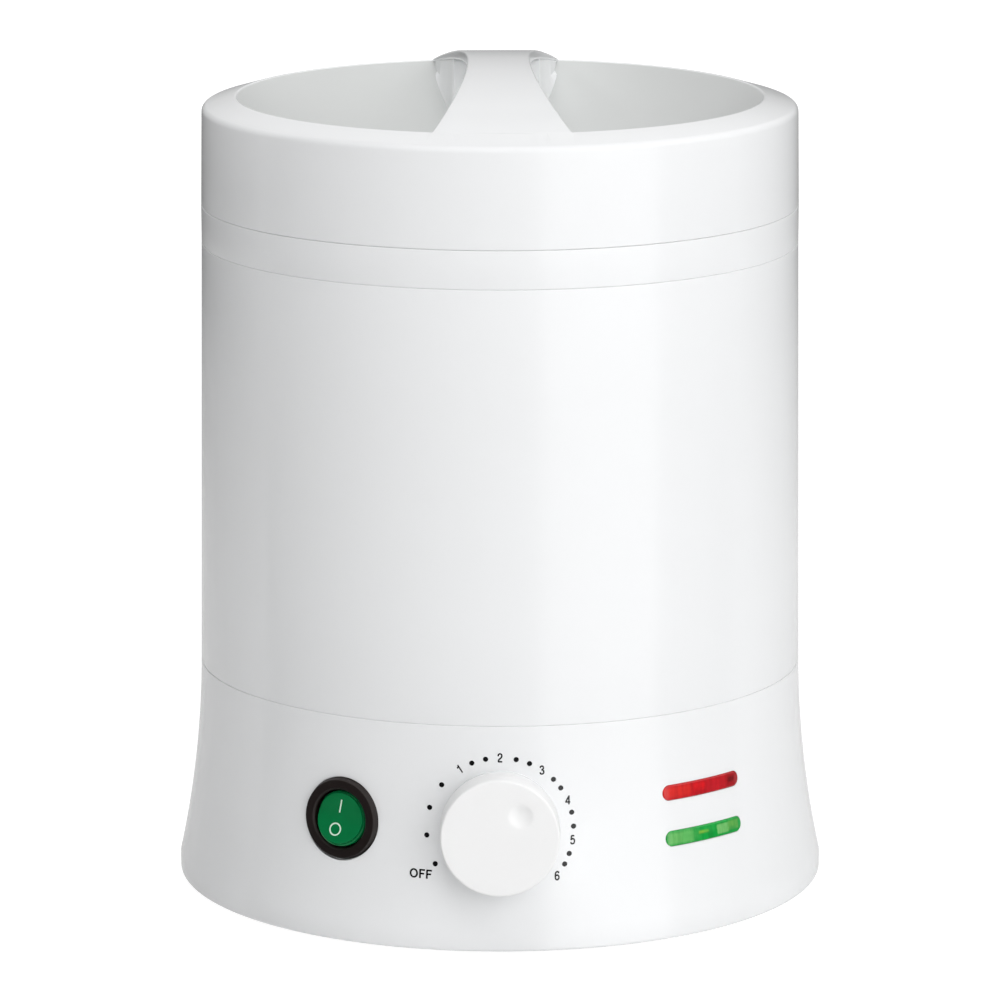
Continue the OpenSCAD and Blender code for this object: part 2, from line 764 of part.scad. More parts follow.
module body_shell() {
    color("white")
    difference() {
        union() {
            rotate_extrude()
                polygon([
                    [body_inner_low_r, base_seam_z], [base_top_r - seam_chamfer, base_seam_z],
                    [base_top_r, base_seam_z + seam_chamfer],
                    [body_top_r, collar_seam_z - seam_chamfer],
                    [body_top_r - seam_chamfer, collar_seam_z], [body_inner_top_r, collar_seam_z]
                ]);
            at_angles(body_boss_angles, body_boss_circle_r) {
                translate([0, 0, ledge_z])
                    cylinder(r = body_boss_r, h = body_boss_h);
                translate([0, -body_rib_w / 2, body_rib_low_z])
                    cube([body_inner_low_r + 0.5 - body_boss_circle_r, body_rib_w, body_rib_h]);
            }
        }
        at_angles(body_boss_angles, body_boss_circle_r)
            translate([0, 0, ledge_z - over])
                cylinder(r = screw_r, h = body_screw_len);
    }
}

module body_screws() {
    color("silver")
    at_angles(body_boss_angles, body_boss_circle_r)
        translate([0, 0, ledge_under_z])
            rotate([180, 0, 0])
                pan_screw(screw_r - running_gap, body_screw_len);
}

module collar_ring() {
    color("white")
    rotate_extrude()
        polygon([
            [collar_spigot_r, collar_seam_z], [body_top_r - seam_chamfer, collar_seam_z],
            [body_top_r, collar_seam_z + seam_chamfer], [body_top_r, collar_top_z - seam_chamfer],
            [body_top_r - seam_chamfer, collar_top_z], [collar_inner_r, collar_top_z],
            [collar_inner_r, lip_top_z], [lip_in_r, lip_top_z],
            [lip_in_r, collar_seam_z - collar_spigot_h],
            [collar_spigot_r, collar_seam_z - collar_spigot_h]
        ]);
}

// Heated well and what is fixed to it

module heating_well() {
    color("lightgray")
    rotate_extrude()
        polygon(concat(
            [[0, well_under_z]],
            arc_points([well_outer_r - pot_corner_r, well_under_z + pot_corner_r], pot_corner_r, -90, 0, 6),
            [
                [well_outer_r, lip_top_z], [pot_flange_r, lip_top_z],
                [pot_flange_r, well_flange_top_z], [well_inner_r, well_flange_top_z]
            ],
            arc_points([well_outer_r - pot_corner_r, well_under_z + pot_corner_r],
                pot_corner_r - well_wall, 0, -90, 6),
            [[0, well_floor_z]]
        ));
}

module heater_band() {
    band_inner_r = well_outer_r + running_gap;
    gap_angle = heater_split / heater_outer_r * 180 / PI;
    color("peru")
    translate([0, 0, heater_low_z])
        rotate([0, 0, 90 + gap_angle / 2]) {
            rotate_extrude(angle = 360 - gap_angle)
                translate([band_inner_r, 0])
                    square([heater_thick, heater_h]);
            for (end = [[0, 0], [360 - gap_angle, -1]])
                rotate([0, 0, end[0]])
                    translate([band_inner_r, end[1] * clamp_ear_thick, heater_h / 2 - clamp_ear_h / 2])
                        difference() {
                            cube([heater_thick + clamp_ear_reach, clamp_ear_thick, clamp_ear_h]);
                            translate([heater_thick + clamp_ear_reach / 2, clamp_ear_thick + over,
                                    clamp_ear_h / 2])
                                rotate([90, 0, 0])
                                    cylinder(r = screw_r + hole_gap, h = clamp_ear_thick + 2 * over);
                        }
        }
}

module heater_clamp() {
    gap_angle = heater_split / heater_outer_r * 90 / PI;
    reach = heater_outer_r + clamp_ear_reach / 2;
    side_x = reach * sin(gap_angle) + clamp_ear_thick + hole_gap;
    color("silver")
    translate([0, reach * cos(gap_angle), heater_low_z + heater_h / 2]) {
        translate([side_x, 0, 0])
            rotate([0, 90, 0])
                pan_screw(screw_r, 2 * side_x + small_nut[1] + over);
        translate([-side_x - small_nut[1], 0, 0])
            rotate([0, 90, 0])
                hex_nut(screw_r + running_gap, small_nut);
    }
}

module insulation_wrap() {
    color("wheat")
    translate([0, 0, insulation_low_z])
        rotate([0, 0, 90 + insulation_slot / 2])
            rotate_extrude(angle = 360 - insulation_slot)
                translate([insulation_inner_r, 0])
                    square([insulation_thick, insulation_top_z - insulation_low_z]);
}

module heat_shield() {
    color("silver")
    difference() {
        translate([0, 0, ledge_z])
            cylinder(r = shield_r, h = shield_thick);
        at_angles(shield_screw_angles, shield_screw_circle_r)
            translate([0, 0, ledge_z - over])
                cylinder(r = screw_r + hole_gap, h = shield_thick + 2 * over);
        at_angles(stud_angles, stud_circle_r)
            translate([0, 0, ledge_z - over])
                cylinder(r = stud_r + hole_gap, h = shield_thick + 2 * over);
        for (hole = lead_holes)
            translate([hole[0], hole[1], ledge_z - over])
                cylinder(r = lead_hole_r, h = shield_thick + 2 * over);
    }
}

module shield_screws() {
    color("silver")
    at_angles(shield_screw_angles, shield_screw_circle_r)
        translate([0, 0, shield_top_z])
            pan_screw(screw_r - running_gap, shield_thick + ledge_thick);
}

module well_studs() {
    color("gray")
    at_angles(stud_angles, stud_circle_r)
        translate([0, 0, ledge_z - stud_drop])
            cylinder(r = stud_r, h = well_under_z - ledge_z + stud_drop);
}

module well_spacers() {
    color("ivory")
    at_angles(stud_angles, stud_circle_r)
        translate([0, 0, shield_top_z])
            tube(spacer_r, stud_r + 0.1, spacer_h);
}

module well_nuts() {
    color("silver")
    for (a = stud_angles)
        at_angles([a], stud_circle_r)
            translate([0, 0, ledge_z - stud_nut[1] - (a == earth_angle ? tag_thick : 0)])
                hex_nut(stud_r + running_gap, stud_nut);
}

// Thermostat, its shaft and the sensor under the well

module thermostat_body() {
    color("gainsboro")
    translate([0, -thermostat_pad_y, knob_z])
        rotate([90, 0, 0])
            difference() {
                union() {
                    translate([0, 0, -thermostat_plate_thick])
                        linear_extrude(thermostat_plate_thick)
                            stadium(2 * thermostat_screw_x + 8, thermostat_plate_w);
                    translate([0, 0, -thermostat_plate_thick - thermostat_depth])
                        cylinder(r = thermostat_body_r, h = thermostat_depth);
                    cylinder(r = shaft_r + 1.2, h = thermostat_nose_h);
                    for (side = [-1, 1])
                        translate([side * thermostat_tab_x - tab_thick / 2, -tab_w / 2,
                                -thermostat_plate_thick - thermostat_depth - tab_len])
                            cube([tab_thick, tab_w, tab_len + over]);
                }
                translate([0, 0, shaft_rear_y - thermostat_pad_y])
                    cylinder(r = shaft_r + running_gap, h = through);
                for (side = [-1, 1])
                    translate([side * thermostat_screw_x, 0, -through / 2])
                        cylinder(r = screw_r, h = through);
            }
}

module thermostat_screws() {
    color("silver")
    translate([0, -thermostat_pad_y, knob_z])
        rotate([90, 0, 0])
            for (side = [-1, 1])
                translate([side * thermostat_screw_x, 0, thermostat_nose_h])
                    pan_screw(screw_r - running_gap, thermostat_screw_len);
}

module thermostat_shaft() {
    color("silver")
    translate([0, -shaft_rear_y, knob_z])
        rotate([90, 0, 0])
            difference() {
                cylinder(r = shaft_r, h = shaft_front_y - shaft_rear_y);
                translate([-shaft_r, shaft_r * 0.5, shaft_front_y - shaft_rear_y - shaft_flat_len])
                    cube([2 * shaft_r, shaft_r, shaft_flat_len + over]);
            }
}

module sensor_bulb() {
    color("orange") {
        translate([-bulb_len / 2, bulb_y, bulb_z])
            rotate([0, 90, 0])
                cylinder(r = bulb_r, h = bulb_len, $fn = 32);
        wire(capillary_route, capillary_r);
    }
}

module bulb_clip() {
    color("silver")
    for (side = [-1, 1])
        translate([side * bulb_clip_x - bulb_clip_w / 2, bulb_y, bulb_z])
            strap_clip(bulb_r, bulb_clip_w);
}

// A strip bent over a round part under the well's floor, with a flat foot on each side
module strap_clip(inside_r, width) {
    drop = well_under_z - bulb_z;
    bore = inside_r + running_gap;
    rotate([90, 0, 90])
        linear_extrude(width)
            difference() {
                union() {
                    circle(r = bore + clip_thick, $fn = 48);
                    translate([-bore - clip_thick, 0])
                        square([2 * (bore + clip_thick), drop]);
                    translate([-inside_r - clip_foot, drop - clip_thick])
                        square([2 * (inside_r + clip_foot), clip_thick]);
                }
                circle(r = bore, $fn = 48);
                translate([-bore, 0])
                    square([2 * bore, drop + over]);
            }
}

module thermal_fuse() {
    color("silver")
    translate([-fuse_len / 2, fuse_y, bulb_z])
        rotate([0, 90, 0]) {
            cylinder(r = bulb_r, h = fuse_len, $fn = 32);
            translate([0, 0, -fuse_lead_len])
                cylinder(r = fuse_lead_r, h = fuse_len + 2 * fuse_lead_len, $fn = 24);
        }
}

module fuse_clip() {
    color("silver")
    translate([-fuse_clip_w / 2, fuse_y, bulb_z])
        strap_clip(bulb_r, fuse_clip_w);
}

// Rocker switch

module switch_frame() {
    on_panel(switch_turn, switch_z, switch_seat, switch_panel_tilt)
        rotate([0, 0, -switch_roll])
            children();
}

module switch_body() {
    color("black")
    switch_frame()
        difference() {
            union() {
                cylinder(r1 = bezel_r, r2 = bezel_r - 0.6, h = bezel_thick);
                translate([0, 0, -switch_barrel_len])
                    cylinder(r = switch_barrel_r, h = switch_barrel_len);
            }
            translate([0, 0, bezel_thick - switch_well_depth])
                cylinder(r = rocker_open_r, h = switch_well_depth + over);
            translate([0, 0, rocker_pivot_h])
                rotate([0, 90, 0])
                    cylinder(r = rocker_pin_r + running_gap, h = 2 * switch_barrel_r - 0.6, center = true,
                        $fn = 32);
            translate([-(switch_lamp_len + over) / 2, -lamp_r - running_gap,
                    switch_slot_h - switch_barrel_len])
                cube([switch_lamp_len + over, 2 * (lamp_r + running_gap), switch_barrel_len]);
        }
}

module rocker() {
    color("green")
    switch_frame()
        translate([0, 0, rocker_pivot_h])
            rotate([-rocker_tilt, 0, 0]) {
                intersection() {
                    sphere(r = rocker_ball_r);
                    cylinder(r = rocker_r, h = 20, center = true);
                    rotate([90, 0, 90])
                        linear_extrude(40, center = true)
                            polygon([
                                [-12, -rocker_low], [12, -rocker_low],
                                [12, rocker_crown + 12 * tan(rocker_tilt)], [0, rocker_crown],
                                [-12, rocker_crown + 12 * tan(rocker_tilt)]
                            ]);
                }
                rotate([0, 90, 0])
                    cylinder(r = rocker_pin_r, h = 2 * switch_barrel_r - 1, center = true, $fn = 32);
            }
}

module switch_terminals() {
    color("goldenrod")
    switch_frame()
        for (x = switch_tab_places)
            translate([x - tab_thick / 2, -tab_w / 2, -switch_barrel_len - tab_len])
                cube([tab_thick, tab_w, tab_len]);
}

module switch_lamp() {
    color("orange")
    switch_frame()
        translate([-switch_lamp_len / 2, 0, switch_slot_h - switch_barrel_len + lamp_r])
            rotate([0, 90, 0])
                cylinder(r = lamp_r, h = switch_lamp_len, $fn = 32);
}

// Indicator windows and their lamps

module lens(z) {
    intersection() {
        window_cut(z, 0);
        difference() {
            flare_body(-lens_proud, z - window_h, z + window_h);
            flare_body(lens_depth, z - window_h - over, z + window_h + over);
        }
    }
}

module red_lens() {
    color("red")
        lens(red_window_z);
}

module green_lens() {
    color("limegreen")
        lens(green_window_z);
}

module lamp_board() {
    color("darkgreen")
    on_panel(window_turn, board_z, board_way)
        difference() {
            linear_extrude(board_thick)
                square([board_w, board_h], center = true);
            for (side = [-1, 1])
                translate([side * board_post_x, 0, -over])
                    cylinder(r = screw_r + 0.1, h = board_thick + 2 * over);
        }
}

module indicator_lamps() {
    color("gold")
    for (z = [red_window_z, green_window_z])
        for (side = [-1, 1])
            on_panel(window_turn, z, board_way + board_thick)
                translate([side * lamp_x, 0, 0]) {
                    cylinder(r = lamp_r, h = lamp_len - lamp_r, $fn = 32);
                    translate([0, 0, lamp_len - lamp_r])
                        sphere(r = lamp_r, $fn = 32);
                }
}

module board_screws() {
    color("silver")
    on_panel(window_turn, board_z, board_way)
        for (side = [-1, 1])
            translate([side * board_post_x, 0, 0])
                rotate([180, 0, 0])
                    pan_screw(screw_r - running_gap, board_screw_len);
}

// Mains inlet and terminal block

module inlet_body() {
    color("black")
    translate([0, inlet_seat_y, inlet_z])
        rotate([-90, 0, 0])
            difference() {
                union() {
                    linear_extrude(inlet_face_thick)
                        square([inlet_flange_w, inlet_flange_h], center = true);
                    translate([0, 0, -inlet_body_depth])
                        linear_extrude(inlet_body_depth)
                            square([inlet_body_w, inlet_body_h], center = true);
                }
                translate([0, 0, inlet_face_thick - inlet_socket_depth])
                    linear_extrude(inlet_socket_depth + over)
                        polygon([
                            [-inlet_socket_w / 2, inlet_socket_h / 2],
                            [inlet_socket_w / 2, inlet_socket_h / 2],
                            [inlet_socket_w / 2, -inlet_socket_h / 2 + inlet_socket_chamfer],
                            [inlet_socket_w / 2 - inlet_socket_chamfer, -inlet_socket_h / 2],
                            [-inlet_socket_w / 2 + inlet_socket_chamfer, -inlet_socket_h / 2],
                            [-inlet_socket_w / 2, -inlet_socket_h / 2 + inlet_socket_chamfer]
                        ]);
                for (p = inlet_pin_places)
                    translate([p[0], -p[1], -inlet_body_depth / 2])
                        cube([inlet_pin_w, inlet_pin_h, inlet_body_depth + 2], center = true);
                for (side = [-1, 1])
                    translate([side * inlet_screw_gap / 2, 0, -over])
                        cylinder(r = screw_r + 0.1, h = inlet_face_thick + 2 * over);
            }
}

module inlet_pins() {
    pin_base = inlet_face_thick - inlet_socket_depth;
    color("silver")
    translate([0, inlet_seat_y, inlet_z])
        rotate([-90, 0, 0])
            for (p = inlet_pin_places)
                translate([p[0] - inlet_pin_w / 2, -p[1] - inlet_pin_h / 2,
                        -inlet_body_depth - inlet_tail_len])
                    cube([inlet_pin_w, inlet_pin_h,
                        inlet_body_depth + inlet_tail_len + pin_base + inlet_pin_len]);
}

module inlet_screws() {
    color("silver")
    for (side = [-1, 1])
        translate([side * inlet_screw_gap / 2, inlet_seat_y + inlet_face_thick, inlet_z])
            rotate([-90, 0, 0])
                pan_screw(screw_r, inlet_face_thick + inlet_pad_depth + small_nut[1] + over);
}

module inlet_nuts() {
    color("silver")
    for (side = [-1, 1])
        translate([side * inlet_screw_gap / 2, inlet_seat_y - inlet_pad_depth, inlet_z])
            rotate([90, 0, 0])
                hex_nut(screw_r + running_gap, small_nut);
}

module terminal_block() {
    color("ivory")
    translate([0, block_y, block_low_z])
        difference() {
            translate([-block_size[0] / 2, -block_size[1] / 2, 0])
                cube(block_size);
            for (x = block_ways) {
                translate([x, 0, block_bore_h])
                    rotate([90, 0, 0])
                        cylinder(r = wire_r + 0.4, h = block_size[1] + 2, center = true);
                translate([x, 0, block_bore_h])
                    cylinder(r = block_screw_r, h = block_size[2]);
            }
        }
}

module terminal_screws() {
    color("silver")
    translate([0, block_y, block_wire_z + wire_r + 0.6])
        for (x = block_ways)
            translate([x, 0, 0])
                cylinder(r = block_screw_r - running_gap, h = block_screw_h);
}

// Wiring

function unit(v) = v / norm(v);

// Smooth curve through the points of a route
function curve_point(a, b, c, d, t) = 0.5 * (2 * b + (c - a) * t + (2 * a - 5 * b + 4 * c - d) * t * t
    + (3 * b - a - 3 * c + d) * t * t * t);
function smooth_route(p, steps) = concat(
    [for (i = [0:len(p) - 2], k = [0:steps - 1])
        curve_point(p[max(i - 1, 0)], p[i], p[i + 1], p[min(i + 2, len(p) - 1)], k / steps)],
    [p[len(p) - 1]]);
function route_tangents(q) = [
    for (i = [0:len(q) - 1]) unit(q[min(i + 1, len(q) - 1)] - q[max(i - 1, 0)])
];
function side_step(u, t) = unit(u - t * (u * t));
function route_sides(t) = [
    for (i = 0, u = side_step([0.31, 0.53, 0.79], t[0]); i < len(t);
        i = i + 1, u = i < len(t) ? side_step(u, t[i]) : u) u
];

// A round wire along a smooth curve through the points of a route
module wire(route, r, sides = 8, steps = 3) {
    q = smooth_route(route, steps);
    t = route_tangents(q);
    u = route_sides(t);
    n = len(q);
    points = [for (i = [0:n - 1], k = [0:sides - 1])
        q[i] + r * (u[i] * cos(360 * k / sides) + cross(t[i], u[i]) * sin(360 * k / sides))];
    walls = [for (i = [0:n - 2], k = [0:sides - 1])
        let (m = (k + 1) % sides)
            [i * sides + k, (i + 1) * sides + k, (i + 1) * sides + m, i * sides + m]];
    polyhedron(points, concat(
        [[for (k = [0:sides - 1]) k]], walls,
        [[for (k = [sides - 1:-1:0]) (n - 1) * sides + k]]), convexity = 4);
}

module live_wires() {
    color("brown")
    for (route = [inlet_to_live_way, live_way_to_switch, switch_to_thermostat, switch_to_lamps,
            thermostat_to_fuse, fuse_to_heater])
        wire(route, wire_r);
}

module neutral_wires() {
    color("royalblue")
    for (route = [inlet_to_neutral_way, inlet_to_lamp_way, neutral_way_to_heater, lamp_way_to_board])
        wire(route, wire_r);
}

module earth_wire() {
    color("yellowgreen")
        wire(inlet_to_earth_tag, wire_r);
}

module earth_tag() {
    color("silver")
    at_angles([earth_angle], stud_circle_r)
        translate([0, 0, ledge_z - tag_thick])
            difference() {
                union() {
                    cylinder(r = tag_r, h = tag_thick);
                    translate([0, -tag_r / 2, 0])
                        cube([tag_len, tag_r, tag_thick]);
                }
                translate([0, 0, -over])
                    cylinder(r = stud_r + 0.1, h = tag_thick + 2 * over);
            }
}

// Pot

module wax_pot() {
    color("silver")
    rotate_extrude()
        polygon(concat(
            [[0, pot_low_z]],
            arc_points([pot_outer_r - pot_corner_r, pot_low_z + pot_corner_r], pot_corner_r, -90, 0, 6),
            [
                [pot_outer_r, pot_flange_z], [pot_flange_r, pot_flange_z],
                [pot_flange_r, pot_flange_top_z + pot_curl_h],
                [pot_flange_r - pot_curl_wall, pot_flange_top_z + pot_curl_h],
                [pot_flange_r - pot_curl_wall, pot_flange_top_z], [pot_inner_r, pot_flange_top_z]
            ],
            arc_points([pot_outer_r - pot_corner_r, pot_low_z + pot_corner_r],
                pot_corner_r - pot_wall, 0, -90, 6),
            [[0, pot_low_z + pot_wall]]
        ));
}

module pot_ears() {
    color("silver")
    for (side = [0, 180])
        rotate([0, 0, side])
            difference() {
                union() {
                    translate([pot_outer_r + 1, -ear_half_w, pot_flange_top_z])
                        cube([ear_x + ear_thick - pot_outer_r - 1, 2 * ear_half_w, ear_thick]);
                    translate([ear_x, -ear_half_w, pot_flange_top_z])
                        cube([ear_thick, 2 * ear_half_w, bail_axis_z - pot_flange_top_z]);
                    translate([ear_x, 0, bail_axis_z])
                        rotate([0, 90, 0])
                            cylinder(r = bail_wire_r + ear_rim, h = ear_thick);
                }
                translate([ear_x - over, 0, bail_axis_z])
                    rotate([0, 90, 0])
                        cylinder(r = bail_wire_r + running_gap, h = ear_thick + 2 * over);
            }
}

module ear_rivets() {
    color("gray")
    for (side = [0, 180])
        rotate([0, 0, side])
            for (y = [-1, 1])
                translate([pot_outer_r + 4, y * (ear_half_w - 2), ear_base_top_z])
                    cylinder(r1 = rivet_r, r2 = rivet_r * 0.7, h = rivet_h, $fn = 32);
}

module bail_handle() {
    color("silver")
    translate([0, 0, bail_axis_z]) {
        rotate_extrude(angle = 180)
            translate([bail_bow_r, 0])
                circle(r = bail_wire_r, $fn = 32);
        for (side = [0, 180])
            rotate([0, 0, side])
                translate([bail_bow_r - bail_wire_r, 0, 0])
                    rotate([0, 90, 0])
                        cylinder(r = bail_wire_r, h = bail_end_x - bail_bow_r + bail_wire_r);
    }
}

// Lid

module lid_profile() {
    polygon(concat(
        [
            [lid_skirt_inner_r, lid_low_z], [body_top_r - seam_chamfer, lid_low_z],
            [body_top_r, lid_low_z + seam_chamfer]
        ],
        arc_points([lid_shoulder_r - lid_round, lid_shoulder_z], lid_round, 0, 72, 6),
        [[rim_inner_r + 1.6, rim_top_z], [rim_inner_r + 0.7, rim_top_z]],
        dish_points(rim_inner_r - 0.3, 0, 0),
        dish_points(0, rim_inner_r - 2, lid_wall),
        [
            [rim_inner_r + 1, rim_top_z - lid_wall - 0.9],
            [lid_skirt_inner_r - 2, lid_shoulder_z - 0.4], [lid_skirt_inner_r - 0.4, lid_shoulder_z - 2]
        ]
    ));
}

// Seen from the side: the arched strap less the finger opening below it
module strap_side() {
    difference() {
        intersection() {
            translate([0, strap_top_z - strap_top_r])
                circle(r = strap_top_r, $fn = 360);
            translate([-strap_reach_y, dish_low_z - 10])
                square([2 * strap_reach_y, strap_top_z - dish_low_z + 20]);
        }
        polygon(concat(
            arc_points([0, opening_low_z + opening_rise - opening_r], opening_r,
                90 + asin(opening_end_y / opening_r), 90 - asin(opening_end_y / opening_r), 24),
            [
                [leg_shelf_y, leg_shelf_z], [finger_half + 1, leg_shelf_z - 1.5],
                [finger_half, leg_shelf_z - 5], [finger_half - 3, dish_low_z - 20],
                [-finger_half + 3, dish_low_z - 20], [-finger_half, leg_shelf_z - 5],
                [-finger_half - 1, leg_shelf_z - 1.5], [-leg_shelf_y, leg_shelf_z]
            ]
        ));
    }
}

module strap_plan() {
    steps = 12;
    side = [for (i = [-steps:steps]) let (y = strap_reach_y * i / steps) [strap_half(y), y]];
    polygon(concat(side, [for (i = [len(side) - 1:-1:0]) [-side[i][0], side[i][1]]]));
}

module strap_handle() {
    intersection() {
        rotate([90, 0, 90])
            linear_extrude(80, center = true)
                strap_side();
        translate([0, 0, dish_low_z - 15])
            linear_extrude(60)
                strap_plan();
        translate([0, 0, dish_centre_z])
            sphere(r = dish_r + lid_wall / 2, $fn = 180);
    }
}

module lid_shell() {
    color("white")
    difference() {
        union() {
            rotate_extrude()
                lid_profile();
            strap_handle();
            intersection() {
                at_angles(lid_boss_angles, lid_boss_circle_r)
                    translate([0, 0, liner_low_z + liner_thick])
                        cylinder(r = lid_boss_r, h = 30);
                difference() {
                    translate([0, 0, lid_low_z])
                        cylinder(r = lid_skirt_inner_r, h = 40);
                    translate([0, 0, dish_centre_z])
                        sphere(r = dish_r + lid_wall / 2, $fn = 180);
                }
            }
        }
        at_angles(lid_boss_angles, lid_boss_circle_r)
            translate([0, 0, liner_low_z])
                cylinder(r = screw_r, h = lid_screw_len + liner_thick);
    }
}

module lid_liner() {
    color("whitesmoke")
    difference() {
        union() {
            translate([0, 0, liner_low_z])
                cylinder(r = liner_r, h = liner_thick);
            translate([0, 0, liner_low_z - liner_ring_h])
                tube(liner_ring_r, liner_ring_r - liner_ring_wall, liner_ring_h + 1);
        }
        at_angles(lid_boss_angles, lid_boss_circle_r)
            translate([0, 0, liner_low_z - over])
                cylinder(r = screw_r + 0.1, h = liner_thick + 2 * over);
    }
}

module lid_screws() {
    color("silver")
    at_angles(lid_boss_angles, lid_boss_circle_r)
        translate([0, 0, liner_low_z])
            rotate([180, 0, 0])
                pan_screw(screw_r - running_gap, lid_screw_len);
}

// Knob

module knob_profile() {
    face_r = knob_r - knob_taper;
    polygon(concat(
        [[knob_r - knob_wall, 0], [knob_r, 0]],
        arc_points([face_r - knob_edge_round, knob_depth - knob_edge_round], knob_edge_round, 5, 85, 5),
        [[0, knob_depth], [0, knob_cavity_y - knob_back_y],
            [knob_r - knob_wall - knob_taper, knob_cavity_y - knob_back_y]]
    ));
}

module control_knob() {
    color("white")
    translate([0, -knob_back_y, knob_z])
        rotate([90, 0, 0])
            difference() {
                union() {
                    rotate_extrude()
                        knob_profile();
                    cylinder(r = knob_hub_r, h = knob_depth - 1);
                }
                translate([0, 0, -over])
                    cylinder(r = shaft_r, h = knob_cavity_y - knob_back_y + over);
                rotate([0, 0, -knob_dimple_turn])
                    translate([0, knob_dimple_way, knob_depth + knob_dimple_lift])
                        sphere(r = norm([knob_dimple_r, knob_dimple_lift]));
            }
}

module knob_clip() {
    color("silver")
    translate([0, -knob_back_y, knob_z])
        rotate([90, 0, 0])
            translate([0, 0, 0.6])
                tube(knob_hub_r + clip_thick, knob_hub_r, knob_clip_w);
}

base_housing();
body_shell();
collar_ring();
bottom_cover();
rubber_feet();
cover_screws();
body_screws();
heating_well();
heater_band();
heater_clamp();
insulation_wrap();
heat_shield();
shield_screws();
well_studs();
well_spacers();
well_nuts();
thermostat_body();
thermostat_screws();
sensor_bulb();
bulb_clip();
thermal_fuse();
fuse_clip();
switch_body();
switch_terminals();
switch_lamp();
red_lens();
green_lens();
lamp_board();
indicator_lamps();
board_screws();
inlet_body();
inlet_pins();
inlet_screws();
inlet_nuts();
terminal_block();
terminal_screws();
live_wires();
neutral_wires();
earth_wire();
earth_tag();
wax_pot();
pot_ears();
ear_rivets();
bail_handle();
lid_shell();
lid_liner();
lid_screws();
control_knob();
knob_clip();
thermostat_shaft();
rocker();
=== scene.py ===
"""Electric wax warmer: moulded shells, controls, pot, lid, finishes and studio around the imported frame.

The classes give their sizes in millimetres. Meshes are written in metres, in the frame of the CAD.
"""

import logging
import math
from dataclasses import dataclass
from enum import Enum
from typing import Callable, Sequence

import bmesh
import bpy
from mathutils import Matrix, Vector

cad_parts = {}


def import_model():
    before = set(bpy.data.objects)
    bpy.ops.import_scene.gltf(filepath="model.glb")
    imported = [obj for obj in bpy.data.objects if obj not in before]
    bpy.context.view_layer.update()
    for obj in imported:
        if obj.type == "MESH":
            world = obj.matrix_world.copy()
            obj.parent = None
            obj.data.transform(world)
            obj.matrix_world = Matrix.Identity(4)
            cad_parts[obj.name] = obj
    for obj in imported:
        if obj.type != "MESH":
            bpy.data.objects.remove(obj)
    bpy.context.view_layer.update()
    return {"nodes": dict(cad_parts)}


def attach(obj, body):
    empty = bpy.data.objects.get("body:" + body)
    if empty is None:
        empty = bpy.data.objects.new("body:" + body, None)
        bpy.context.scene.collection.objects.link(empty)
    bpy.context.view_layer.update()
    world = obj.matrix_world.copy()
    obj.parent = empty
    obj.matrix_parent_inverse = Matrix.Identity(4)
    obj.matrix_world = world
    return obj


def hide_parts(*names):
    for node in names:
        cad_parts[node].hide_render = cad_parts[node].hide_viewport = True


log = logging.getLogger("wax_warmer")

MM = 0.001
TURN = 2 * math.pi
Pair = tuple[float, float]
Triple = tuple[float, float, float]
Table = Sequence[Pair]
Colour = tuple[float, float, float, float]
Tree = bpy.types.NodeTree
Socket = bpy.types.NodeSocket
Piece = bpy.types.Object


class Body(Enum):
    """The bodies of the part that a piece can ride on."""

    HOUSING = "housing"
    POT = "pot"
    BAIL = "bail"
    LID = "lid"
    KNOB = "knob"
    ROCKER = "rocker"


class Pattern(Enum):
    """How a surface was made, and so what pattern it carries."""

    MOULDED = "moulded"
    SPUN = "spun"
    DRAWN = "drawn"
    FIBROUS = "fibrous"
    WOVEN = "woven"
    FIRED = "fired"
    STRIPED = "striped"
    PRINTED = "printed"
    CLEAR = "clear"


# Nodes and colours


def linear(colour: str) -> Colour:
    """Turns an sRGB hex colour to linear light.

    Args:
        colour: The colour, as "#rrggbb".

    Returns:
        Red, green and blue in linear light, and an alpha of 1.
    """
    parts = [int(colour[i:i + 2], 16) / 255 for i in (1, 3, 5)]
    red, green, blue = (c / 12.92 if c <= 0.04045 else ((c + 0.055) / 1.055) ** 2.4 for c in parts)
    return red, green, blue, 1.0


def add_node(tree: Tree, kind: str, inputs: dict | None = None, **settings) -> bpy.types.Node:
    """Adds a node with its settings, values and links.

    Args:
        tree: The node tree that it joins.
        kind: The node's type, without the words that every shader node's type starts with.
        inputs: A value or a socket to link, by the name or number of each input.
        **settings: The node's own settings.

    Returns:
        The new node.
    """
    made = tree.nodes.new("ShaderNode" + kind)
    for key, value in settings.items():
        setattr(made, key, value)
    for key, value in (inputs or {}).items():
        if isinstance(value, Socket):
            tree.links.new(value, made.inputs[key])
        else:
            made.inputs[key].default_value = value
    return made


def blank(name: str) -> tuple[bpy.types.Material, Tree]:
    """Makes a material whose node tree is empty.

    Args:
        name: The material's name.

    Returns:
        The material and its tree.
    """
    made = bpy.data.materials.new(name)
    made.use_nodes = True
    made.node_tree.nodes.clear()
    return made, made.node_tree


def calc(tree: Tree, operation: str, *values: Socket | float) -> Socket:
    """Works a value out from others."""
    return add_node(tree, "Math", dict(enumerate(values)), operation=operation).outputs[0]


def mix(tree: Tree, share: Socket, first: Socket | Colour, second: Socket | Colour) -> Socket:
    """Mixes two colours, where a share of 1 gives the second."""
    return add_node(tree, "Mix", {0: share, 6: first, 7: second}, data_type="RGBA").outputs[2]


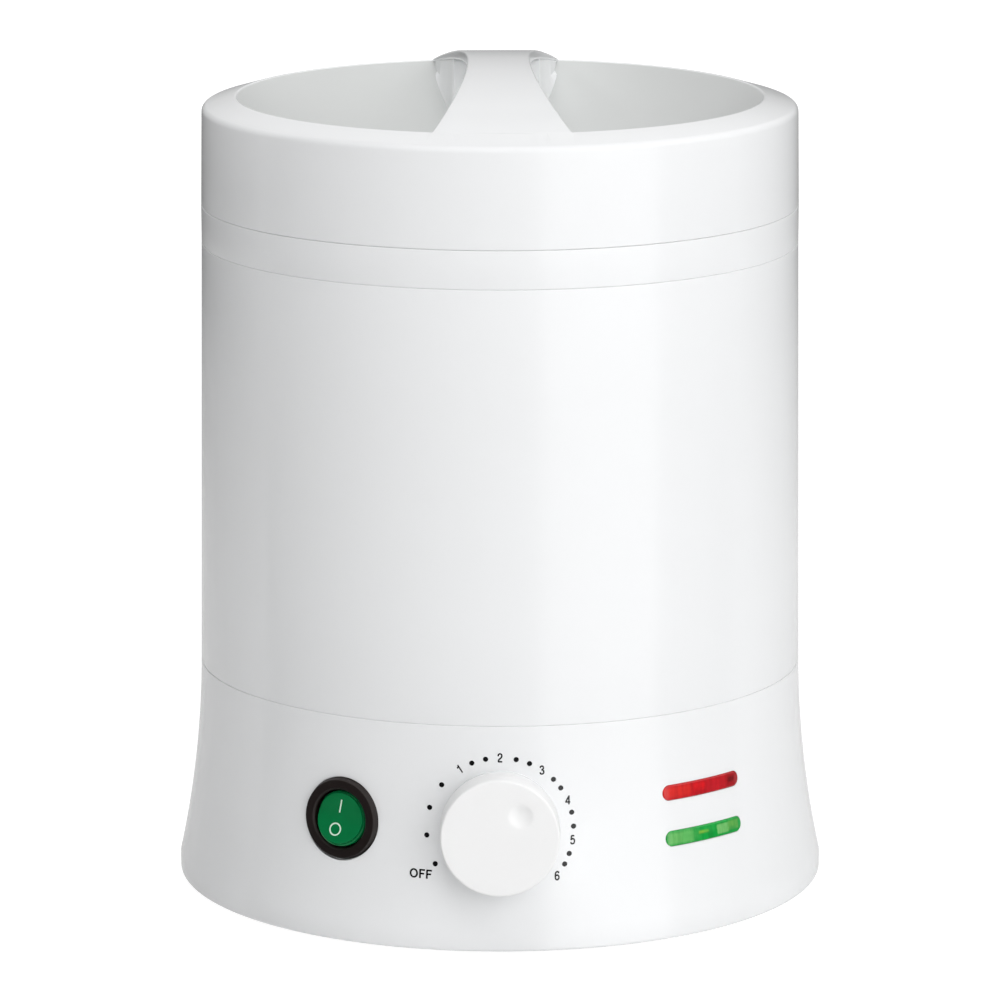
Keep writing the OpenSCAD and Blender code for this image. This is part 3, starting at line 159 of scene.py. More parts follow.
def ramp(tree: Tree, value: Socket, ends: Pair, gives: Pair = (0.0, 1.0), kind: str = "LINEAR") -> Socket:
    """Maps a range of a value onto another and holds it past the ends.

    Args:
        tree: The node tree.
        value: The value.
        ends: Where the range starts and ends.
        gives: What comes out at its start and at its end.
        kind: The way between them, as the node names it.

    Returns:
        The socket that gives the result.
    """
    return add_node(tree, "MapRange", {0: value, 1: ends[0], 2: ends[1], 3: gives[0], 4: gives[1]},
                    interpolation_type=kind).outputs[0]


@dataclass(frozen=True)
class Finish:
    """A surface: what it is made of, how it was made, and what that gives the eye."""

    name: str
    slot: str
    colour: str
    roughness: float
    pattern: Pattern
    grain_mm: float
    ior: float = 1.5
    metallic: float = 0.0
    relief_mm: float = 0.01
    tone: float = 0.04
    roughness_swing: float = 0.06
    coat: float = 0.0
    transmission: float = 0.0
    subsurface: float = 0.0
    second: str = ""
    draw_twist: float = 0.03
    drift_mm: float = 25.0
    stripe_mm: float = 9.0

    def material(self) -> bpy.types.Material:
        """Makes the material, or gives the one made before.

        Returns:
            The material.
        """
        known = bpy.data.materials.get(self.name)
        if known:
            return known
        made, tree = blank(self.name)
        shader = add_node(tree, "BsdfPrincipled", {
            "Base Color": linear(self.colour), "Roughness": self.roughness, "IOR": self.ior,
            "Metallic": self.metallic, "Coat Weight": self.coat, "Coat Roughness": 0.05,
            "Transmission Weight": self.transmission, "Subsurface Weight": self.subsurface,
            "Subsurface Radius": (0.002, 0.002, 0.002), "Subsurface Scale": 1.0,
        })
        place = add_node(tree, "TexCoord").outputs["Object"]
        self.weave(tree, shader, place)
        add_node(tree, "OutputMaterial", {"Surface": shader.outputs["BSDF"]})
        return made

    def grain(self, tree: Tree, place: Socket) -> Socket:
        """Makes the pattern's height, from 0 to 1.

        Args:
            tree: The material's node tree.
            place: The point on the object, in metres.

        Returns:
            The socket that gives the height.
        """
        fine = 1 / (self.grain_mm * MM)
        if self.pattern in (Pattern.SPUN, Pattern.DRAWN):
            split = add_node(tree, "SeparateXYZ", {"Vector": place}).outputs
            squares = [calc(tree, "MULTIPLY", split[i], split[i]) for i in (0, 1)]
            way = calc(tree, "SQRT", calc(tree, "ADD", *squares))
            twist = calc(tree, "MULTIPLY", split[1], 0 if self.pattern is Pattern.SPUN else self.draw_twist)
            place = add_node(tree, "CombineXYZ", {0: way, 1: split[2], 2: twist}).outputs[0]
        if self.pattern is Pattern.WOVEN:
            waves = [add_node(tree, "TexWave", {"Vector": place, "Scale": fine / TURN, "Distortion": 0.4},
                              wave_type="BANDS", bands_direction=axis).outputs[1] for axis in ("X", "Z")]
            return calc(tree, "MAXIMUM", *waves)
        noise = add_node(tree, "TexNoise", {
            "Vector": place, "Scale": fine, "Detail": 3.0, "Roughness": 0.55,
            "Distortion": 1.2 if self.pattern is Pattern.FIBROUS else 0.0})
        return noise.outputs[0]

    def weave(self, tree: Tree, shader: bpy.types.Node, place: Socket) -> None:
        """Gives the shader its colour variation, roughness and relief.

        Args:
            tree: The material's node tree.
            shader: The surface shader.
            place: The point on the object, in metres.
        """
        height = self.grain(tree, place)
        drift = add_node(tree, "TexNoise", {
            "Vector": place, "Scale": 1 / (self.drift_mm * MM), "Detail": 2.0})
        blend = add_node(tree, "Mix", {0: 0.5, 2: drift.outputs[0], 3: height}, data_type="FLOAT").outputs[0]
        self.paint(tree, shader, place, height, blend)
        rough = ramp(tree, blend, (0.3, 0.7), (max(self.roughness - self.roughness_swing, 0.02),
                                               min(self.roughness + self.roughness_swing, 1.0)))
        tree.links.new(rough, shader.inputs["Roughness"])
        relief = add_node(tree, "Bump", {"Strength": 1.0, "Distance": self.relief_mm * MM, "Height": height})
        tree.links.new(relief.outputs[0], shader.inputs["Normal"])

    def shades(self) -> tuple[Colour, Colour]:
        """Gives the colour's darker shade and the colour itself, in linear light."""
        base = linear(self.colour)
        return tuple(c * (1 - self.tone) for c in base[:3]) + (1.0,), base

    def paint(self, tree: Tree, shader: bpy.types.Node, place: Socket,
              height: Socket, blend: Socket) -> None:
        """Gives the shader its colour.

        Args:
            tree: The material's node tree.
            shader: The surface shader.
            place: The point on the object, in metres.
            height: The pattern's height.
            blend: The pattern's height mixed with a slow drift.
        """
        darker, base = self.shades()
        if self.second:
            darker, blend = linear(self.second), height
        if self.pattern is Pattern.STRIPED:
            # Two-coloured sleeve: bands a few millimetres long
            bands = add_node(tree, "TexWave", {"Vector": place, "Scale": 1 / (self.stripe_mm * MM) / TURN},
                             wave_type="BANDS", bands_direction="DIAGONAL").outputs[1]
            blend = calc(tree, "GREATER_THAN", bands, 0.5)
        tree.links.new(mix(tree, blend, darker, base), shader.inputs["Base Color"])


@dataclass(frozen=True)
class PaintedLightPatch:
    """A paler or darker place on a window, painted light and shade of the guides and the lamp behind it, in
    millimetres from the window's middle.
    """

    left: float
    right: float
    low: float
    high: float
    colour: str
    strength: float
    soft: float = 0.4


@dataclass(frozen=True)
class WindowFinish(Finish):
    """Tinted clear plastic, with the light guides and the lamp behind it painted on as patches of light and
    shade.
    """

    turn: float = 40.4
    height_z: float = 30.2
    blur_mm: float = 1.2
    flow_scale: Triple = (900.0, 900.0, 120.0)
    painted_light_patches: tuple[PaintedLightPatch, ...] = ()

    def paint(self, tree: Tree, shader: bpy.types.Node, place: Socket,
              height: Socket, blend: Socket) -> None:
        """Gives the window its tint and the painted light and shade of what lies behind it.

        Args:
            tree: The material's node tree.
            shader: The surface shader.
            place: The point on the object, in metres.
            height: The pattern's height.
            blend: The pattern's height mixed with a slow drift, which a window doesn't use.
        """
        turned = add_node(tree, "VectorRotate", {"Vector": place, "Angle": -math.radians(self.turn)},
                          rotation_type="Z_AXIS").outputs[0]
        split = add_node(tree, "SeparateXYZ", {"Vector": turned})
        # The moulding's flow and the guides' edges blur the painted light and shade behind by a few tenths of
        # a millimetre
        across = calc(tree, "ADD", split.outputs[0], calc(tree, "MULTIPLY", height, self.blur_mm * MM))
        up = split.outputs[2]
        # Flow lines run down the moulding, a millimetre or so apart
        flow = add_node(tree, "VectorMath", {0: turned, 1: self.flow_scale}, operation="MULTIPLY").outputs[0]
        line = add_node(tree, "TexNoise", {"Vector": flow, "Scale": 1.0, "Detail": 2.0}).outputs[0]
        line = ramp(tree, line, (0.38, 0.6))
        colour = mix(tree, line, *self.shades())
        thin = ramp(tree, line, (0.0, 1.0), (0.7, 1.0))
        # The patches paint paler and darker places: painted light and shade of the guides and the lamp behind
        for light_patch in self.painted_light_patches:
            painted_light_mask: Socket | float = light_patch.strength
            for value, low, high in ((across, light_patch.left, light_patch.right),
                                     (up, self.height_z + light_patch.low, self.height_z + light_patch.high)):
                for edge, gives in ((low, (0.0, 1.0)), (high, (1.0, 0.0))):
                    step = ramp(tree, value, ((edge - light_patch.soft) * MM, (edge + light_patch.soft) * MM), gives,
                                "SMOOTHSTEP")
                    painted_light_mask = calc(tree, "MULTIPLY", step, painted_light_mask)
            colour = mix(tree, calc(tree, "MULTIPLY", thin, painted_light_mask), colour, linear(light_patch.colour))
        tree.links.new(colour, shader.inputs["Base Color"])


# Moulded ABS, polished tool: bright neutral white whose gloss gives soft light sharp edges
WHITE_ABS = Finish("moulded_white_abs", "white_plastic", "#eff0f1", 0.15, Pattern.MOULDED, 1.2, ior=1.48,
                   relief_mm=0.0006, tone=0.012, roughness_swing=0.02)
# Moulded ABS with the tool's fine matt texture in the lid's recess, its colour greyer than the polished strap
# and rim as painted shade in the recess
DISH_SHADED_ABS = Finish("textured_abs_painted_shade", "white_plastic", "#cfd1d0", 0.34, Pattern.MOULDED, 0.9, ior=1.48,
                  relief_mm=0.0015)
# The same ABS off a finely spark-eroded tool: a little softer, so the face stays even
SATIN_ABS = Finish("spark_eroded_white_abs", "satin_plastic", "#f3f3f3", 0.4, Pattern.MOULDED, 0.9, ior=1.48,
                   relief_mm=0.0001, tone=0.015, roughness_swing=0.05)
# Moulded polyamide: warm near-black with a dry, slightly uneven sheen
DARK_NYLON = Finish("moulded_dark_polyamide", "dark_plastic", "#1d1210", 0.55, Pattern.MOULDED, 0.45,
                    ior=1.53, relief_mm=0.006, tone=0.35, roughness_swing=0.08)
# Moulded clear polycarbonate, dyed green: deep colour that brightens where the wall is thin
GREEN_CAP = Finish("moulded_green_polycarbonate", "green_rocker", "#008046", 0.22, Pattern.CLEAR, 6.0,
                   ior=1.46, relief_mm=0.004, tone=0.4, roughness_swing=0.04, subsurface=0.08)
# Moulded red polycarbonate, whose patches are painted light and shade of the guides and the lamp behind
RED_PANE = WindowFinish(
    "moulded_red_polycarbonate", "red_window", "#c4101c", 0.2, Pattern.CLEAR, 1.6, ior=1.585, relief_mm=0.006,
    tone=0.22, roughness_swing=0.04, subsurface=0.05, height_z=43.8, painted_light_patches=(
        PaintedLightPatch(-14.3, -4.5, -1.5, 1.7, "#dc2a22", 0.8, 1.0), PaintedLightPatch(-3.4, 1.2, -0.6, 1.5, "#e8141c", 0.8, 0.8),
        PaintedLightPatch(1.5, 9.5, -1.4, 1.3, "#c81a28", 0.6, 0.8), PaintedLightPatch(9.9, 16.0, -2.4, 2.4, "#8e0a14", 0.7, 1.0),
        PaintedLightPatch(10.6, 13.4, -0.5, 1.0, "#5e060c", 0.75, 0.5)))
# Moulded light green polycarbonate, whose patches are painted light and shade of the guides and the lamp
# behind
GREEN_PANE = WindowFinish(
    "moulded_light_green_polycarbonate", "green_window", "#00a23c", 0.2, Pattern.CLEAR, 1.6, ior=1.585,
    relief_mm=0.006, tone=0.25, roughness_swing=0.04, subsurface=0.05, height_z=30.2, painted_light_patches=(
        PaintedLightPatch(-13.9, -4.6, -1.7, 1.7, "#77c06b", 0.85, 0.7),
        PaintedLightPatch(-9.0, -2.2, -1.5, 1.6, "#4fb458", 0.6, 1.4),
        PaintedLightPatch(-2.4, 1.4, 0.0, 0.8, "#8fc03f", 0.85, 0.35), PaintedLightPatch(-0.5, 4.2, -0.2, 1.5, "#2fae4c", 0.5, 0.8),
        PaintedLightPatch(4.9, 9.8, -1.4, 1.4, "#7cc270", 0.9, 0.3), PaintedLightPatch(9.6, 14.0, -1.1, 1.6, "#69ab50", 0.85, 0.4),
        PaintedLightPatch(10.2, 13.0, -1.6, -0.2, "#1d9440", 0.6, 0.5)))
# Moulded thermoplastic rubber: dull dark grey that picks up dust
FOOT_RUBBER = Finish("moulded_foot_rubber", "foot_rubber", "#2e2e30", 0.82, Pattern.MOULDED, 0.9, ior=1.52,
                     relief_mm=0.02, tone=0.3)
# Spun and anodised aluminium: rings of fine tool marks, a soft silver glow
SPUN_ALUMINIUM = Finish("spun_anodised_aluminium", "pot_aluminium", "#c9cacb", 0.3, Pattern.SPUN, 0.7,
                        metallic=1.0, relief_mm=0.004, tone=0.1, roughness_swing=0.1)
# Zinc-plated sheet and screws: cool grey, faintly mottled by the bath
ZINC_STEEL = Finish("zinc_plated_steel", "plain_steel", "#b4b8bb", 0.34, Pattern.MOULDED, 1.5, metallic=1.0,
                    relief_mm=0.003, tone=0.14, roughness_swing=0.1)
# Drawn stainless wire, polished: bright, with draw lines along it
BRIGHT_WIRE = Finish("drawn_stainless_wire", "bright_steel", "#d2d2d0", 0.16, Pattern.DRAWN, 0.8,
                     metallic=1.0, relief_mm=0.003, tone=0.08, roughness_swing=0.06)
# Stamped brass tabs: warm yellow, lightly tarnished
STAMPED_BRASS = Finish("stamped_brass", "contact_brass", "#c8a04f", 0.28, Pattern.MOULDED, 0.9, metallic=1.0,
                       relief_mm=0.003, tone=0.2, roughness_swing=0.08)
# Cast silicone rubber over the heating wire: matt brick brown
CAST_SILICONE = Finish("cast_silicone_rubber", "heater_silicone", "#a24f33", 0.6, Pattern.WOVEN, 1.2,
                       ior=1.41, relief_mm=0.05, tone=0.18)
# Needled glass fibre: a woolly off-white with loose strands
GLASS_FLEECE = Finish("needled_glass_fibre", "glass_wool", "#e3dcc4", 0.95, Pattern.FIBROUS, 0.8, ior=1.52,
                      relief_mm=0.35, tone=0.3)
# Pressed and fired steatite: a cream ceramic with a dry, eggshell face
FIRED_STEATITE = Finish("fired_steatite", "steatite", "#e9e2cf", 0.5, Pattern.FIRED, 1.4, ior=1.6,
                        relief_mm=0.01, tone=0.08)
# Blown lamp glass: clear, with a warm glow from the gas inside
LAMP_GLASS = Finish("blown_lamp_glass", "lamp_glass", "#f0c9a0", 0.05, Pattern.CLEAR, 4.0, ior=1.52,
                    relief_mm=0.001, transmission=0.8, tone=0.1, roughness_swing=0.02)
# Pressed glass-epoxy board under green resist: the cloth shows through
BOARD_EPOXY = Finish("pressed_glass_epoxy", "board_laminate", "#1d6b3c", 0.32, Pattern.WOVEN, 0.6, ior=1.55,
                     relief_mm=0.008, tone=0.3, second="#15532d")
# Extruded wire sleeves: even colour with a low waxy shine
BROWN_SLEEVE = Finish("extruded_brown_sleeve", "live_insulation", "#6b3a1e", 0.4, Pattern.MOULDED, 1.0,
                      relief_mm=0.01, tone=0.12)
BLUE_SLEEVE = Finish("extruded_blue_sleeve", "neutral_insulation", "#2a5fae", 0.4, Pattern.MOULDED, 1.0,
                     relief_mm=0.01, tone=0.12)
STRIPED_SLEEVE = Finish("extruded_striped_sleeve", "earth_insulation", "#e2cf1f", 0.4, Pattern.STRIPED, 1.0,
                        relief_mm=0.01, second="#1f8a3b")
# Drawn copper tube: pinkish, dulled by handling
DRAWN_COPPER = Finish("drawn_copper", "copper", "#b8714c", 0.34, Pattern.DRAWN, 0.6, metallic=1.0,
                      relief_mm=0.003, tone=0.2, roughness_swing=0.1)
# Pad-printed ink: near black and slightly less glossy than the plastic around it
PAD_INK = Finish("pad_printed_ink", "dark_plastic", "#0b0b0d", 0.2, Pattern.PRINTED, 0.3, ior=1.62,
                 relief_mm=0.002, tone=0.25)
# Pad-printed signs on the rocker: a pale green white
SIGN_INK = Finish("pad_printed_sign_ink", "white_plastic", "#d9f2df", 0.35, Pattern.PRINTED, 0.3,
                  relief_mm=0.002, tone=0.06)


# Curves and meshes


def shift(x: float, y: float, z: float) -> Matrix:
    """Gives a move in millimetres."""
    return Matrix.Translation((x, y, z))


def spin(angle: float, axis: str = "Z") -> Matrix:
    """Gives a turn in degrees about an axis."""
    return Matrix.Rotation(math.radians(angle), 4, axis)


def circle(radius: float, count: int) -> list[Pair]:
    """Gives the points of a circle about the origin."""
    return [(radius * math.cos(TURN * k / count), radius * math.sin(TURN * k / count)) for k in range(count)]


def even(start: float, end: float, steps: int) -> list[float]:
    """Gives evenly spaced values, with both ends."""
    return [start + (end - start) * i / steps for i in range(steps + 1)]


def rounded(corners: Sequence[Triple], steps: int = 5, closed: bool = True) -> list[Pair]:
    """Rounds the corners of a profile.

    Args:
        corners: Radius, height and rounding of each corner, in millimetres.
        steps: How many points each rounding gets, less one.
        closed: Whether the last corner is joined to the first.

    Returns:
        The profile's points.
    """
    count = len(corners)
    out: list[Pair] = []
    for i, (r, z, size) in enumerate(corners):
        here = Vector((r, z))
        if size <= 0 or (not closed and i in (0, count - 1)):
            out.append((r, z))
            continue
        before = Vector(corners[i - 1][:2]) - here
        after = Vector(corners[(i + 1) % count][:2]) - here
        reach = 0.49 * min(before.length, after.length)
        before.normalize()
        after.normalize()
        half = math.acos(max(-1.0, min(1.0, before.dot(after)))) / 2
        if half > math.radians(89.5):
            out.append((r, z))
            continue
        away = min(size / math.tan(half), reach)
        size = away * math.tan(half)
        centre = here + (before + after).normalized() * (size / math.sin(half))
        start, end = here + before * away - centre, here + after * away - centre
        swing = math.atan2(start.x * end.y - start.y * end.x, start.dot(end))
        for k in range(steps + 1):
            a = swing * k / steps
            turned = Vector((start.x * math.cos(a) - start.y * math.sin(a),
                             start.x * math.sin(a) + start.y * math.cos(a)))
            out.append(tuple(centre + turned))
    return out


def read_off(table: Table, at: float) -> float:
    """Reads a value off a table, with straight lines between its points.

    Args:
        table: Places and the values there.
        at: The place to read at.

    Returns:
        The value.
    """
    if at <= table[0][0]:
        return table[0][1]
    for (x0, y0), (x1, y1) in zip(table, table[1:]):
        if at <= x1:
            return y0 + (y1 - y0) * (at - x0) / (x1 - x0)
    return table[-1][1]


def smoothstep(low: float, high: float, at: float) -> float:
    """Goes smoothly from 0 at low to 1 at high."""
    t = max(0.0, min(1.0, (at - low) / (high - low)))
    return t * t * (3 - 2 * t)


def flowing(path: Sequence[Pair], parts: int) -> list[Pair]:
    """Draws a smooth curve through points.

    Args:
        path: The points. A path that ends where it starts is a loop.
        parts: How many steps go from one point to the next.

    Returns:
        The curve's points.
    """
    loop = path[0] == path[-1]
    nodes = [Vector(p) for p in (path[:-1] if loop else path)]
    count = len(nodes)
    out: list[Pair] = []
    for i in range(count if loop else count - 1):
        four = [nodes[k % count] if loop else nodes[max(0, min(count - 1, k))] for k in range(i - 1, i + 3)]
        for step in range(parts):
            t = step / parts
            out.append(tuple(0.5 * (2 * four[1] + (four[2] - four[0]) * t
                                    + (2 * four[0] - 5 * four[1] + 4 * four[2] - four[3]) * t * t
                                    + (3 * four[1] - four[0] - 3 * four[2] + four[3]) * t * t * t)))
    out.append(tuple(nodes[0] if loop else nodes[-1]))
    return out


# The strokes of the printed signs, in a box of height 1: whether a stroke flows, and its points
STROKES: dict[str, tuple[tuple[bool, tuple[Pair, ...]], ...]] = {
    "1": ((False, ((0.30, 0.0), (0.30, 1.0))), (False, ((0.32, 0.83), (0.0, 0.69)))),
    "2": ((True, ((0.06, 0.68), (0.09, 0.85), (0.20, 0.935), (0.34, 0.935), (0.46, 0.86), (0.49, 0.71),
                  (0.43, 0.55), (0.27, 0.40), (0.13, 0.25), (0.08, 0.065))),
          (False, ((0.03, 0.065), (0.54, 0.065)))),
    "3": ((True, ((0.06, 0.74), (0.12, 0.89), (0.26, 0.94), (0.40, 0.89), (0.46, 0.75), (0.40, 0.61),
                  (0.22, 0.54))),
          (True, ((0.22, 0.53), (0.41, 0.47), (0.50, 0.29), (0.44, 0.12), (0.27, 0.06), (0.11, 0.11),
                  (0.05, 0.26)))),
    "4": ((False, ((0.41, 0.0), (0.41, 1.0))), (False, ((0.41, 0.94), (0.04, 0.29))),
          (False, ((0.0, 0.28), (0.56, 0.28)))),
    "5": ((False, ((0.49, 0.94), (0.10, 0.94))), (False, ((0.15, 0.97), (0.085, 0.46))),
          (True, ((0.09, 0.50), (0.21, 0.60), (0.35, 0.60), (0.47, 0.49), (0.50, 0.32), (0.43, 0.13),
                  (0.27, 0.06), (0.11, 0.10), (0.05, 0.25)))),
    "6": ((True, ((0.48, 0.77), (0.40, 0.91), (0.26, 0.94), (0.12, 0.84), (0.065, 0.62), (0.065, 0.34),
                  (0.12, 0.14), (0.28, 0.06), (0.43, 0.13), (0.50, 0.31), (0.43, 0.50), (0.28, 0.57),
                  (0.13, 0.50), (0.07, 0.38))),),
    "O": ((True, tuple((0.40 + 0.33 * math.cos(TURN * k / 16), 0.5 + 0.435 * math.sin(TURN * (k % 16) / 16))
                       for k in range(16)) + ((0.73, 0.5),)),),
    "F": ((False, ((0.07, 0.0), (0.07, 1.0))), (False, ((0.05, 0.935), (0.56, 0.935))),
          (False, ((0.05, 0.52), (0.48, 0.52)))),
}


class Shape:
    """Points in millimetres and faces of one piece while it is being made."""

    def __init__(self) -> None:
        """Starts with nothing."""
        self.points: list[Vector] = []
        self.faces: list[tuple[int, ...]] = []

    def add(self, point: Sequence[float]) -> int:
        """Adds a point and gives its number."""
        self.points.append(Vector(point))
        return len(self.points) - 1

    def rows(self, rows: Sequence[Sequence[Sequence[float]]], loop: bool = True,
             ring: bool = False) -> "Shape":
        """Joins rows of points with faces.

        Args:
            rows: The rows, each with as many points. A row whose points coincide becomes one point.
            loop: Whether each row closes on itself.
            ring: Whether the last row is joined to the first.

        Returns:
            The shape.
        """
        index = []
        for row in rows:
            first = Vector(row[0])
            if len(row) > 2 and all((Vector(p) - first).length < 1e-6 for p in row):
                index.append([self.add(first)] * len(row))
            else:
                index.append([self.add(p) for p in row])
        if ring:
            index.append(index[0])
        for a, b in zip(index, index[1:]):
            count = len(a)
            for k in range(count if loop else count - 1):
                m = (k + 1) % count
                face = tuple(dict.fromkeys((a[k], a[m], b[m], b[k])))
                if len(face) > 2:
                    self.faces.append(face)
        return self

    def lathe(self, profile: Sequence[Pair], closed: bool = True, segments: int = 256) -> "Shape":
        """Turns a profile of radius and height about the Z axis.

        Args:
            profile: The profile's points.
            closed: Whether the profile is closed. An open one starts and ends on the axis.
            segments: How many steps make one turn.

        Returns:
            The shape.
        """
        turns = circle(1.0, segments)
        return self.rows([[(r * c, r * s, z) for c, s in turns] for r, z in profile], ring=closed)

    def pipe(self, path: Sequence[Vector], radii: Sequence[float], sides: int = 24) -> "Shape":
        """Sweeps a circle along a path and closes its ends.

        Args:
            path: The points that the pipe follows.
            radii: The pipe's radius at each of them.
            sides: How many points make the circle.

        Returns:
            The shape.
        """
        rows = []
        normal = Vector((0.31, 0.53, 0.79))
        for i, (point, radius) in enumerate(zip(path, radii)):
            along = (path[min(i + 1, len(path) - 1)] - path[max(i - 1, 0)]).normalized()
            normal = (normal - along * normal.dot(along)).normalized()
            side = along.cross(normal)
            rows.append([point + radius * (normal * c + side * s) for c, s in circle(1.0, sides)])
        return self.prism(rows)

    def ribbon(self, path: Sequence[Pair], width: float, loop: bool) -> "Shape":
        """Draws a flat stroke with square ends, one unit thick.

        Args:
            path: The stroke's middle line.
            width: The stroke's width.
            loop: Whether the path ends where it starts.

        Returns:
            The shape.
        """
        nodes = [Vector(p) for p in (path[:-1] if loop else path)]
        count = len(nodes)
        rows = []
        for i, node in enumerate(nodes):
            before = nodes[i - 1] if loop or i else node
            after = nodes[(i + 1) % count] if loop or i < count - 1 else node
            along = (after - before).normalized()
            side = Vector((-along.y, along.x)) * (width / 2)
            rows.append([(*(node + side), -0.5), (*(node - side), -0.5), (*(node - side), 0.5),
                         (*(node + side), 0.5)])
        start = len(self.points)
        self.rows(rows, ring=loop)
        if not loop:
            self.faces.append(tuple(range(start + 3, start - 1, -1)))
            self.faces.append(tuple(range(len(self.points) - 4, len(self.points))))
        return self

    def prism(self, rows: Sequence[Sequence[Sequence[float]]]) -> "Shape":
        """Joins rows of points with faces and closes both ends.

        Args:
            rows: The rows, each with as many points.

        Returns:
            The shape.
        """
        start, count = len(self.points), len(rows[0])
        self.rows(rows)
        last = len(self.points)
        self.faces += [tuple(range(start + count - 1, start - 1, -1)), tuple(range(last - count, last))]
        return self

    def box(self, low: Triple, high: Triple) -> "Shape":
        """Adds a box.

        Args:
            low: Its lowest corner.
            high: Its highest corner.

        Returns:
            The shape.
        """
        x, y, z = zip(low, high)
        ring = [(x[0], y[0]), (x[1], y[0]), (x[1], y[1]), (x[0], y[1])]
        return self.prism([[(*p, h) for p in ring] for h in z])

    def plug(self, radius: float, low: float, high: float, segments: int = 48) -> "Shape":
        """Adds a solid cylinder about the Z axis."""
        return self.lathe([(0, low), (radius, low), (radius, high), (0, high)], closed=False,
                          segments=segments)

    def moved(self, matrix: Matrix) -> "Shape":
        """Moves the points that are there so far."""
        self.points = [matrix @ p for p in self.points]
        return self

    def mapped(self, place: Callable[[Vector], Sequence[float]]) -> "Shape":
        """Sends each point through a function."""
        self.points = [Vector(place(p)) for p in self.points]
        return self

    def join(self, other: "Shape") -> "Shape":
        """Takes in another shape's points and faces.

        Args:
            other: The shape that is taken in.

        Returns:
            The shape.
        """
        start = len(self.points)
        self.points += [p.copy() for p in other.points]
        self.faces += [tuple(i + start for i in face) for face in other.faces]
        return self

    def build(self, name: str, sharp: float = 32.0) -> Piece:
        """Writes the mesh.

        Args:
            name: The piece's name.
            sharp: Edges that turn by more degrees than this stay crisp.

        Returns:
            The new object.
        """
        mesh = bpy.data.meshes.new(name)
        mesh.from_pydata([p * MM for p in self.points], [], self.faces)
        work = bmesh.new()
        work.from_mesh(mesh)
        bmesh.ops.remove_doubles(work, verts=work.verts, dist=1e-7)
        bmesh.ops.recalc_face_normals(work, faces=work.faces)
        work.to_mesh(mesh)
        work.free()
        made = bpy.data.objects.new(name, mesh)
        bpy.context.collection.objects.link(made)
        shade(made, sharp)
        return made


def shade(piece: Piece, sharp: float) -> None:
    """Shades a piece smoothly between the edges that turn by more than sharp degrees."""
    piece.data.shade_smooth()
    piece.data.set_sharp_from_angle(angle=math.radians(sharp))


def discard(piece: Piece) -> None:
    """Removes a piece and its mesh."""
    mesh = piece.data
    bpy.data.objects.remove(piece)
    bpy.data.meshes.remove(mesh)


def carve(piece: Piece, tools: Sequence[Piece], join: bool = False, sharp: float = 32.0) -> Piece:
    """Cuts tools out of a piece, or joins them to it, and removes them.

    Args:
        piece: The piece to change.
        tools: The closed objects to cut with or to join.
        join: Whether they are joined.
        sharp: Edges that turn by more degrees than this stay crisp.

    Returns:
        The piece.
    """
    for tool in tools:
        step = piece.modifiers.new("carve", "BOOLEAN")
        step.operation = "UNION" if join else "DIFFERENCE"
        step.solver = "EXACT"
        step.object = tool
    graph = bpy.context.evaluated_depsgraph_get()
    mesh = bpy.data.meshes.new_from_object(piece.evaluated_get(graph))
    piece.modifiers.clear()
    old = piece.data
    piece.data = mesh
    bpy.data.meshes.remove(old)
    mesh.name = piece.name
    for tool in tools:
        discard(tool)
    shade(piece, sharp)
    return piece


def true_normals(piece: Piece, surface: Callable[[Vector], Vector | None]) -> None:
    """Gives the faces that lie on a known surface that surface's own normals.

    Args:
        piece: The piece, in metres.
        surface: Takes a point in millimetres and gives the normal there, or None where the point is off it.
    """
    mesh = piece.data
    normals = [Vector(n.vector) for n in mesh.corner_normals]
    known = [surface(v.co / MM) for v in mesh.vertices]
    for face in mesh.polygons:
        own = [known[i] for i in face.vertices]
        if all(n is not None and n.dot(face.normal) > 0.9 for n in own):
            for loop, n in zip(face.loop_indices, own):
                normals[loop] = n
    mesh.normals_split_custom_set([tuple(n) for n in normals])


def fine_edge(piece: Piece, width: float, steps: int = 2) -> Piece:
    """Rounds a piece's crisp edges.

    Args:
        piece: The piece.
        width: The rounding's width.
        steps: How many faces make it.

    Returns:
        The piece.
    """
    step = piece.modifiers.new("edge", "BEVEL")
    step.width = width * MM
    step.segments = steps
    step.limit_method = "ANGLE"
    step.angle_limit = math.radians(35)
    step.harden_normals = True
    return piece


def put(piece: Piece, finish: Finish, body: Body, nodes: Sequence[str] = ()) -> Piece:
    """Finishes a piece and fixes it to its body.

    Args:
        piece: The piece.
        finish: Its surface.
        body: The body that it rides on.
        nodes: The CAD nodes that it stands for.

    Returns:
        The piece.
    """
    piece.data.materials.clear()
    piece.data.materials.append(finish.material())
    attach(piece, body.value)
    if nodes:
        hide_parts(*nodes)
    log.info("%s: %d faces, rides on %s", piece.name, len(piece.data.polygons), body.value)
    return piece


# The housing


